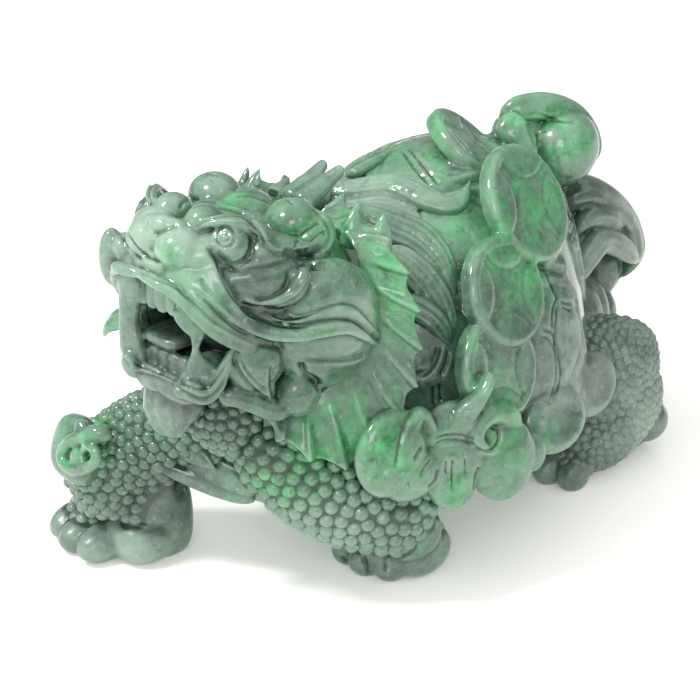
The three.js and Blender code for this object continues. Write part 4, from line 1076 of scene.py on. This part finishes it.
def runs_on(tree, pixels):
    """A line of pixels as places and normals on a piece, in unbroken runs."""
    length = np.linalg.norm(np.diff(np.asarray(pixels, float), axis=0), axis=1).sum()
    runs, run = [], []
    start = Vector(place(EYE))
    for x, y in spline(pixels, max(8, int(length / 1.5))):
        spot, normal, *_ = tree.ray_cast(start, Vector(sight(x, y)).normalized())
        if spot is None or (run and (spot - run[-1][0]).length > GAP * MM):
            runs.append(run)
            run = []
        if spot is not None:
            run.append((spot, normal))
    runs.append(run)
    return [run for run in runs if len(run) > 4]


def mirrored(tree, run):
    """The same line on the other side of the figure, laid on its surface."""
    result = []
    middle, front = place((0, SNOUT_FRONT, 0))[:2]
    for spot, _ in run:
        if spot.x < middle + 1.2 * MM or spot.y < front:
            continue
        other = Vector((2 * middle - spot.x, spot.y, spot.z))
        found, normal, _, away = tree.find_nearest(other)
        if away < 2.5 * MM:
            result.append((found, normal))
    return result


def eased(values, rounds=2):
    """Values along a line, each drawn towards its neighbours."""
    for _ in range(rounds):
        middle = (values[:-2] + 2 * values[1:-1] + values[2:]) / 4
        values = np.vstack((values[:1], middle, values[-1:]))
    return values


def profile(kind, across, away, width, depth):
    """Height of a cut at a distance across it, in millimetres."""
    if kind == "groove":
        return -depth * np.exp(-((away / width) ** 2))
    low = 1 / (1 + np.exp(-across / 0.16))
    drop = -depth * low * np.exp(-np.maximum(across, 0) / width)
    lip = depth * 0.4 * (1 - low) * np.exp(np.minimum(across, 0) / width)
    return drop + lip


def carve(piece, cuts, both=False):
    """Cuts lines into a piece: each is its kind, half-width and depth in millimetres, and its pixels.

    A ledge drops on the right-hand side of its line, as where one form lies over another.
    """
    points, normals, edges = arrays(piece.data)
    soft = unit(relaxed(normals, edges, 4) + 1e-9)
    tree = BVHTree.FromObject(piece, bpy.context.evaluated_depsgraph_get())
    height = np.zeros(len(points))
    for kind, width, depth, *pixels in cuts:
        runs = runs_on(tree, pixels)
        sides = [(1, run) for run in runs]
        if both:
            sides += [(-1, mirrored(tree, run)) for run in runs]
        for hand, run in sides:
            if len(run) < 5:
                continue
            line = eased(np.array([spot for spot, _ in run]))
            out = unit(eased(np.array([normal for _, normal in run]), 4))
            reach = (LEDGE_REACH if kind == "ledge" else GROOVE_REACH) * width * MM
            inside = ((points > line.min(axis=0) - reach) & (points < line.max(axis=0) + reach)).all(axis=1)
            chosen = np.flatnonzero(inside)
            if not len(chosen):
                continue
            tangent = unit(np.gradient(line, axis=0) + 1e-12)
            gap = points[chosen][:, None] - line[None]
            distance = np.linalg.norm(gap, axis=2)
            nearest = distance.argmin(axis=1)
            rows = np.arange(len(chosen))
            offset = gap[rows, nearest]
            aside = np.cross(tangent, out)[nearest] * hand
            across = (offset * aside).sum(axis=1) / MM
            away = distance[rows, nearest] / MM
            along = nearest / (len(line) - 1)
            fade = np.clip(np.minimum(along, 1 - along) / FADED_END, 0.0, 1) ** 0.6
            facing = np.clip((normals[chosen] * out[nearest]).sum(axis=1) * 2 - 0.2, 0, 1)
            near_by = np.clip((reach / MM - away) / (0.4 * width), 0, 1)
            height[chosen] += profile(kind, across, away, width, depth) * fade * facing * near_by
    points += soft * (height * MM)[:, None]
    piece.data.vertices.foreach_set("co", points.ravel())
    piece.data.update()
    return piece


# Colour of the stone, with painted light and shade

# The stone's colour zones, some of which also hold painted light and shade, each mark a pixel of the
# photograph with a reach in millimetres and a strength.
GREEN = [
    # Curl, forehead, knobs and the leaf behind the brow.
    (76, 445, 10, 1.0), (102, 442, 5, 0.7), (160, 434, 5, 0.5), (116, 325, 6, 0.8), (241, 204, 6, 0.9),
    (225, 205, 5, 0.4), (196, 214, 4, 0.4), (293, 222, 5, 0.7), (318, 234, 6, 0.8), (345, 230, 7, 0.9),
    (356, 214, 6, 1.0), (171, 257, 3, 0.6), (200, 262, 3, 0.4), (165, 276, 4, 0.5),
    # Collar.
    (376, 250, 8, 0.9), (396, 274, 8, 0.9), (406, 302, 7, 0.8), (400, 335, 5, 0.4), (350, 440, 10, 0.8),
    (330, 424, 8, 0.6), (312, 450, 6, 0.3), (375, 400, 8, 0.3),
    # Chest.
    (297, 488, 5, 1.0), (290, 465, 6, 0.8), (266, 478, 6, 0.5), (310, 440, 6, 0.5),
    # Sceptre head and coins.
    (388, 446, 8, 1.0), (372, 452, 6, 0.9), (414, 478, 5, 0.4), (455, 492, 5, 0.7), (508, 470, 7, 0.7),
    (500, 438, 5, 0.5), (440, 434, 5, 0.4), (478, 384, 4, 0.5), (502, 404, 7, 1.0), (470, 345, 6, 0.6),
    (518, 400, 6, 0.6), (532, 290, 7, 1.0), (522, 262, 6, 0.9), (508, 312, 5, 0.5), (478, 250, 5, 0.5),
    (542, 218, 9, 1.0), (522, 236, 7, 0.8), (505, 185, 7, 0.5), (490, 265, 6, 0.5), (552, 180, 6, 0.9),
    (500, 170, 5, 0.4), (556, 150, 9, 1.0), (538, 114, 7, 0.9), (508, 120, 7, 0.9), (582, 124, 7, 0.8),
    (440, 119, 6, 0.9), (458, 145, 5, 0.4),
    # Shell and rim.
    (400, 160, 12, 0.5), (470, 222, 10, 0.6), (456, 240, 7, 0.5), (438, 180, 8, 0.4), (543, 436, 5, 0.8),
    (410, 150, 8, 0.3),
]
# Partly deep-toned stone and partly painted shade on tucked-in and lower parts: under the chin, in the pouch
# below the eye, on the legs and beside the paws.
DARK_AND_SHADED = [
    (256, 287, 9, 0.9), (276, 272, 6, 0.5), (262, 322, 5, 0.6), (240, 330, 4, 0.5), (330, 352, 7, 0.4),
    (165, 320, 9, 0.9), (225, 424, 13, 0.9), (254, 412, 9, 1.0), (122, 488, 13, 1.0), (150, 472, 10, 0.9),
    (110, 415, 8, 0.6), (150, 440, 8, 0.7), (402, 405, 8, 0.6), (412, 350, 7, 0.3), (382, 428, 7, 0.5),
    (436, 372, 9, 0.3), (448, 335, 7, 0.3), (590, 200, 12, 1.0), (600, 290, 12, 1.0), (570, 200, 9, 1.0),
    (577, 225, 7, 0.8), (607, 272, 8, 0.9), (588, 368, 5, 0.9), (574, 418, 4, 0.6), (170, 340, 10, 1.0),
    (216, 345, 6, 0.7), (190, 385, 6, 0.4), (168, 505, 9, 0.6), (380, 570, 11, 0.7), (332, 562, 8, 0.8),
    (562, 466, 9, 0.8), (298, 396, 7, 0.5), (172, 500, 9, 0.7), (300, 450, 8, 0.3), (420, 320, 6, 0.4),
    (590, 365, 8, 0.6), (500, 400, 4, 0.5),
]
GREY = [
    (620, 250, 24, 1.0), (600, 300, 16, 1.0), (562, 330, 14, 0.9), (546, 388, 12, 0.9), (620, 400, 26, 1.0),
    (645, 430, 14, 1.0), (580, 440, 12, 0.8), (596, 370, 10, 0.6), (400, 560, 14, 0.8), (125, 548, 16, 1.0),
    (75, 530, 12, 1.0), (180, 388, 12, 0.7), (160, 350, 10, 0.8), (176, 405, 9, 0.7), (111, 258, 7, 0.8),
    (494, 292, 7, 0.6), (506, 200, 7, 0.4), (404, 482, 7, 0.6), (450, 472, 9, 0.4), (330, 500, 12, 0.4),
    (230, 270, 8, 0.3),
]
# Partly light-toned stone and partly painted light on the tops that the lamps catch, such as the nose and the
# crown of the mane.
PALE_AND_LIT = [
    (150, 226, 8, 1.0), (183, 246, 8, 1.0), (150, 266, 6, 0.6), (190, 286, 5, 0.5), (386, 232, 6, 0.7),
    (412, 292, 5, 0.5), (218, 186, 5, 0.5), (370, 196, 9, 0.7), (430, 192, 8, 0.5), (402, 252, 7, 0.5),
    (335, 180, 8, 0.8), (140, 548, 8, 0.8), (312, 522, 9, 0.35), (352, 528, 8, 0.35), (284, 424, 5, 0.7),
    (362, 318, 7, 0.5), (350, 340, 6, 0.3), (520, 270, 5, 0.3), (556, 126, 10, 0.45), (578, 158, 8, 0.4),
    (600, 240, 7, 0.6), (646, 425, 6, 0.6), (545, 478, 5, 0.4), (430, 160, 9, 0.3),
]
SOLID = BVHTree.FromObject(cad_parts["dragon_turtle"], bpy.context.evaluated_depsgraph_get())


def seen_at(x, y):
    """Where the line of sight through a pixel of the photograph meets the solid, in the frame."""
    spot, *_ = SOLID.ray_cast(Vector(place(EYE)), Vector(sight(x, y)).normalized())
    return spot


def cloudiness(points, zones):
    """How strongly the marked zones reach each point."""
    total = np.zeros(len(points))
    for x, y, reach, strength in zones:
        middle = seen_at(x, y)
        if middle is not None:
            away = np.linalg.norm(points - np.array(middle), axis=1) / (reach * MM)
            total += strength * np.exp(-(away**2) * 1.4)
    return np.clip(total, 0, 1)


def tint(piece, under=(), relief=1.0):
    """Stores the stone's zones, some of them painted light and shade, and the depth of the carving as
    attributes of the piece.

    The material paints shade where the carving is deep and light where it stands out. The skin between
    scales that stand at the given places counts as deep, so it gets painted shade, and relief is the share of
    the carving's own depth that shows.
    """
    mesh = piece.data
    points, normals, edges = arrays(mesh)
    # Depth of the carving at each point, which the material paints as shade where it is deep and as light
    # where it stands out.
    hollow = ((relaxed(points, edges, 14) - points) * normals).sum(axis=1) / (0.3 * MM) * relief
    if len(under):
        tree = kdtree.KDTree(len(under))
        for i, spot in enumerate(place(under)):
            tree.insert(spot, i)
        tree.balance()
        away = np.array([tree.find(spot)[2] for spot in points]) / MM
        # Painted shade in the skin between the bead scales.
        hollow += 1.1 * np.clip((0.95 * BEAD - away) / 0.5, 0, 1)
    layers = {
        "green": cloudiness(points, GREEN),
        "dark_and_shaded": cloudiness(points, DARK_AND_SHADED),
        "grey": cloudiness(points, GREY),
        "pale_and_lit": cloudiness(points, PALE_AND_LIT),
        "hollow": np.clip(hollow, -1, 1),
    }
    for name, values in layers.items():
        layer = mesh.attributes.new(name, "FLOAT", "POINT")
        layer.data.foreach_set("value", values.astype(np.float32))


def linear(hex_colour):
    """An sRGB hex colour as linear RGBA."""
    parts = [int(hex_colour[i : i + 2], 16) / 255 for i in (1, 3, 5)]
    return (*[c / 12.92 if c <= 0.04045 else ((c + 0.055) / 1.055) ** 2.4 for c in parts], 1.0)


def add_node(tree, kind, inputs=None, **settings):
    """Adds a node, sets its properties, and fills or links its inputs."""
    node = tree.nodes.new(kind)
    for name, value in settings.items():
        setattr(node, name, value)
    for key, value in (inputs or {}).items():
        if isinstance(value, bpy.types.NodeSocket):
            tree.links.new(value, node.inputs[key])
        else:
            node.inputs[key].default_value = value
    return node


def mix(tree, factor, low, high, blend="MIX"):
    """Mixes two colours, each a socket or a hex colour."""
    low, high = (linear(value) if isinstance(value, str) else value for value in (low, high))
    node = add_node(tree, "ShaderNodeMix", {0: factor, 6: low, 7: high}, data_type="RGBA", blend_type=blend)
    return node.outputs[2]


def polished_jadeite():
    """Jadeite polished to a glassy gloss: cloudy grey-green with vivid veins, in which light glows; it also
    carries painted shade in the carving's hollows and painted light on its ridges.
    """
    material = bpy.data.materials.new("polished_jadeite")
    material.use_nodes = True
    tree = material.node_tree
    shader = tree.nodes["Principled BSDF"]
    where = add_node(tree, "ShaderNodeTexCoord").outputs["Object"]

    def attribute(name):
        return add_node(tree, "ShaderNodeAttribute", attribute_name=name).outputs["Fac"]

    def noise(size, detail=4.0, roughness=0.6, distortion=0.0):
        """Clouds with a typical size in millimetres."""
        return add_node(
            tree, "ShaderNodeTexNoise",
            {"Vector": where, "Scale": 1 / (size * MM), "Detail": detail, "Roughness": roughness,
             "Distortion": distortion},
        ).outputs["Fac"]

    def stretch(value, low, high, to_low=0.0, to_high=1.0):
        return add_node(
            tree, "ShaderNodeMapRange",
            {"Value": value, "From Min": low, "From Max": high, "To Min": to_low, "To Max": to_high},
        ).outputs["Result"]

    def calculate(operation, a, b):
        node = add_node(tree, "ShaderNodeMath", {0: a, 1: b}, operation=operation, use_clamp=True)
        return node.outputs["Value"]

    clouds = stretch(noise(12, 6, 0.66, 0.5), 0.38, 0.62)
    colour = mix(tree, clouds, "#284B39", "#567F65")
    greyness = calculate("MULTIPLY", attribute("grey"), 0.85)
    colour = mix(tree, greyness, colour, mix(tree, clouds, "#3E4C46", "#737F78"))
    # Light-toned stone and painted light, from the zones above.
    colour = mix(tree, calculate("MULTIPLY", attribute("pale_and_lit"), 0.75), colour, "#97B09E")
    # Deep-toned stone and painted shade, from the zones above.
    dark_stone_and_shade = calculate("MULTIPLY", attribute("dark_and_shaded"), stretch(noise(9, 5), 0.3, 0.6, 0.45, 0.95))
    colour = mix(tree, dark_stone_and_shade, colour, "#14291D")
    seams = calculate("ADD", attribute("green"), stretch(noise(26, 2, 0.5, 0.8), 0.56, 0.72, 0.0, 0.5))
    veins = calculate("MULTIPLY", seams, stretch(noise(5.5, 4, 0.6, 0.5), 0.36, 0.6))
    colour = mix(tree, veins, colour, mix(tree, stretch(noise(4, 3), 0.35, 0.65), "#0E7537", "#41A262"))
    mottle = stretch(noise(2.6, 4, 0.7, 0.6), 0.3, 0.7, 0.0, 1.0)
    colour = mix(tree, calculate("MULTIPLY", mottle, 0.16), colour, "#B9CCBD")
    smoke = stretch(noise(6.5, 6, 0.72, 2.2), 0.56, 0.7)
    colour = mix(tree, calculate("MULTIPLY", smoke, 0.6), colour, "#1A3628")
    flecks = stretch(noise(1.6, 2, 0.5), 0.66, 0.74)
    colour = mix(tree, calculate("MULTIPLY", flecks, 0.25), colour, "#B5C6B8")
    # Painted shade in the carving's hollows and between the bead scales.
    painted_recess_shade = stretch(attribute("hollow"), 0.05, 0.8)
    colour = mix(tree, calculate("MULTIPLY", painted_recess_shade, 0.88), colour, "#0F2C1C")
    # Painted light on the carving's ridges.
    painted_crest_light = stretch(attribute("hollow"), -0.1, -1.0)
    colour = mix(tree, calculate("MULTIPLY", painted_crest_light, 0.3), colour, "#9DBDA7")
    tree.links.new(colour, shader.inputs["Base Color"])
    swell = add_node(
        tree, "ShaderNodeBump", {"Height": noise(3.2, 3, 0.55), "Distance": 0.1 * MM, "Strength": 0.7},
    )
    tree.links.new(swell.outputs["Normal"], shader.inputs["Normal"])
    tree.links.new(stretch(attribute("grey"), 0.4, 1, 0.14, 0.34), shader.inputs["Roughness"])
    shader.inputs["IOR"].default_value = 1.66
    shader.inputs["Subsurface Weight"].default_value = 0.25
    shader.inputs["Subsurface Radius"].default_value = (0.8, 0.85, 0.8)
    shader.inputs["Subsurface Scale"].default_value = 1.4 * MM
    return material


# The figure

JADE = polished_jadeite()


def finish(piece, under=(), relief=1.0):
    """Colours, thins and hands over a piece of the figure."""
    tint(piece, under, relief)
    thin(piece, MOST_TRIANGLES)
    piece.data.shade_smooth()
    piece.data.materials.append(JADE)
    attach(piece, "root")
    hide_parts("dragon_turtle")


# Limbs that carry bead scales: route, radii, side, size of the beads, first and last share of the length.
SCALED = [
    (FRONT_LEFT, FRONT_LEFT_WIDTH, 1, 1.0, 0.02, 0.95),
    (CHEST, CHEST_WIDTH, 1, 0.84, 0.05, 0.95),
    (FRONT_RIGHT, FRONT_RIGHT_WIDTH, -1, 0.92, 0.02, 0.98),
    (ELBOW, ELBOW_WIDTH, -1, 0.92, 0, 1.01),
]
for hand in (1, -1):
    SCALED.append((HIND_LIMB, HIND_WIDTH, hand, 0.78, 0.02, 0.98))
    SCALED.append((THIGH, THIGH_WIDTH, hand, 0.78, 0.02, 0.98))

BEAD_RADIUS = 0.56 * BEAD
BEAD_SINK, FINE_BEAD_SINK = 0.6, 0.62  # how deep a bead's middle lies in the skin, for a bead of full size
FINE_BEAD = 0.8  # beads smaller than this share have fewer faces and lie lower
PACKING = 0.78  # least gap between two first places, as a share of the beads' spacing
EASING_ROUNDS = 8


def bead_sizes(points):
    """Size of the bead scales wanted at each point of the legs' skin, and 0 where it is bare."""
    size = np.zeros(len(points))
    for route, radii, side, wanted, start, stop in SCALED:
        shares = np.linspace(0, 1, 60)
        away = np.full(len(points), np.inf)
        where = np.zeros(len(points))
        for share, spot in zip(shares, spline(np.asarray(route, float) * (side, 1, 1), 60)):
            reach = np.linalg.norm(points - spot, axis=1)
            closer = reach < away
            away[closer] = reach[closer]
            where[closer] = share
        radius = np.interp(where, np.linspace(0, 1, len(radii)), radii)
        on_limb = (np.abs(away - radius) < 1.5) & (where > start) & (where < stop)
        size[on_limb & (size == 0)] = wanted
    folded = np.column_stack((np.abs(points[:, 0]), points[:, 1:]))
    size[np.linalg.norm(folded - HIND_KNOB, axis=1) < BARE_KNOB] = 0
    return size


def spread_beads(skin):
    """Places, outward ways and sizes of the bead scales, drawn evenly apart as a carver spaces them."""
    points, normals, edges = arrays(skin.data)
    normals = unit(relaxed(normals, edges, 6) + 1e-9)
    grid = (points - LOW) / UNIT + GRID_LOW
    size = bead_sizes(grid)
    chosen = np.flatnonzero((size > 0) & (points[:, 2] > 2.4 * MM))
    grid, normals, size = grid[chosen], normals[chosen], size[chosen]
    cells, seeds = {}, []
    for i in np.random.default_rng(5).permutation(len(grid)):
        x, y, z = (grid[i] // BEAD).astype(int)
        around = [(x + a, y + b, z + c) for a in (-1, 0, 1) for b in (-1, 0, 1) for c in (-1, 0, 1)]
        close = [j for cell in around for j in cells.get(cell, ())]
        gap = PACKING * BEAD * size[i]
        if not close or ((grid[close] - grid[i]) ** 2).sum(axis=1).min() > gap**2:
            cells.setdefault((x, y, z), []).append(i)
            seeds.append(i)
    spots, weight = grid[seeds], size**-4
    for _ in range(EASING_ROUNDS):
        tree = kdtree.KDTree(len(spots))
        for i, spot in enumerate(spots):
            tree.insert(spot, i)
        tree.balance()
        owner = np.array([tree.find(spot)[1] for spot in grid])
        total = np.bincount(owner, weight, len(spots)) + 1e-12
        sums = [np.bincount(owner, weight * column, len(spots)) for column in grid.T]
        spots = np.column_stack(sums) / total[:, None]
    out = unit(np.column_stack([np.bincount(owner, column, len(spots)) for column in normals.T]) + 1e-9)
    return spots, out, size[seeds]


def bead_form(segments, rings):
    """One bead scale: the upper part of a small ball, with few faces."""
    bpy.ops.object.select_all(action="DESELECT")
    bpy.ops.mesh.primitive_uv_sphere_add(segments=segments, ring_count=rings, radius=BEAD_RADIUS)
    bpy.ops.object.mode_set(mode="EDIT")
    bpy.ops.mesh.bisect(plane_co=(0, 0, 0), plane_no=(0, 0, 1), use_fill=False, clear_inner=True)
    bpy.ops.object.mode_set(mode="OBJECT")
    return taken(bpy.context.object)


def beads(skin):
    """Bead scales, each sunk a little into the skin of the legs."""
    large, small = bead_form(12, 10), bead_form(10, 8)
    small = (small[0] * (1.06, 1.06, 0.8), small[1])
    surface = BVHTree.FromObject(skin, bpy.context.evaluated_depsgraph_get())
    forms, kept = [], []
    for spot, out, size in zip(*spread_beads(skin)):
        found, _, _, away = surface.find_nearest(Vector(place(spot)))
        if away > 1.2 * MM:
            continue
        spot = (np.array(found) - LOW) / UNIT + GRID_LOW
        points, faces = large if size > FINE_BEAD else small
        sunk = BEAD_SINK if size > FINE_BEAD else FINE_BEAD_SINK
        across, upright, normal = frame_of(out, (0.3, 0.2, 1) if abs(out[2]) < 0.9 else (1, 0, 0))
        forms.append(moved((points * size, faces), spot - normal * sunk * size, across, upright, normal))
        if size > FINE_BEAD:
            kept.append(spot)
    piece = solid_piece("bead_scales", forms)
    piece.data.shade_smooth()
    return piece, np.array(kept)


def flat_soles(piece):
    """Grinds away what reaches below the plane that the figure stands on."""
    points, _, _ = arrays(piece.data)
    points[:, 2] = np.maximum(points[:, 2], 0)
    piece.data.vertices.foreach_set("co", points.ravel())
    piece.data.update()
    return piece


finish(carve(fuse("dragon_head", head(), FINE_VOXEL, 4), HEAD_CUTS, both=True))
finish(fuse("collar_and_mane", collar_and_mane(), FINE_VOXEL))
finish(carve(fuse("shell_and_coins", [*trunk(), *rim(), *coins(), *cloud()], PLAIN_VOXEL), SHELL_CUTS))
skin = flat_soles(carve(fuse("legs_and_tail", legs_and_tail(), PLAIN_VOXEL, 3), LEG_CUTS))
scales, scale_places = beads(skin)
finish(skin, under=scale_places)
finish(scales, relief=0.25)


# Floor, light and camera

TARGET = Vector(place(LOOK_AT))

lens = bpy.data.cameras.new("photo_camera")
lens.lens = LENS
lens.sensor_width = FILM
lens.clip_start = 0.01
lens.clip_end = 20
camera = bpy.data.objects.new("photo_camera", lens)
camera.location = place(EYE)
camera.rotation_euler = Vector(BACK).to_track_quat("Z", "Y").to_euler()
bpy.context.scene.collection.objects.link(camera)
bpy.context.scene.camera = camera

bpy.ops.object.select_all(action="DESELECT")
bpy.ops.mesh.primitive_plane_add(size=6, location=(0, 0, -0.0002))
floor = bpy.context.object
floor.name = "studio_floor"


def white_paper():
    """Matt white paper on a light table, which lifts the shadows on it."""
    material = bpy.data.materials.new("white_paper")
    material.use_nodes = True
    shader = material.node_tree.nodes["Principled BSDF"]
    shader.inputs["Base Color"].default_value = linear("#F8F8F4")
    shader.inputs["Roughness"].default_value = 0.9
    shader.inputs["Emission Color"].default_value = linear("#F8F8F4")
    shader.inputs["Emission Strength"].default_value = 0.2
    return material


floor.data.materials.append(white_paper())


def lamp(name, direction, distance, size, watts):
    """A square soft box that looks at the figure from a direction."""
    light = bpy.data.lights.new(name, "AREA")
    light.shape = "SQUARE"
    light.size = size
    light.energy = watts
    box = bpy.data.objects.new(name, light)
    way = Vector(direction).normalized()
    box.location = TARGET + way * distance
    box.rotation_euler = way.to_track_quat("Z", "Y").to_euler()
    bpy.context.scene.collection.objects.link(box)


lamp("key_light", (-0.35, -0.75, 1.2), distance=0.8, size=0.11, watts=3.8)
lamp("fill_light", (0.8, -1.0, 0.9), distance=1.1, size=0.35, watts=1.5)

sky = bpy.data.lights.new("ceiling_light", "SUN")
sky.energy = 2.0
sky.angle = math.radians(130)
ceiling = bpy.data.objects.new("ceiling_light", sky)
ceiling.rotation_euler = Vector((0.1, -0.5, 1)).to_track_quat("Z", "Y").to_euler()
bpy.context.scene.collection.objects.link(ceiling)

world = bpy.data.worlds.new("studio")
world.use_nodes = True
air = world.node_tree.nodes["Background"]
air.inputs["Color"].default_value = linear("#FFFFFF")
air.inputs["Strength"].default_value = 0.46
bpy.context.scene.world = world
bpy.context.scene.view_settings.view_transform = "Standard"
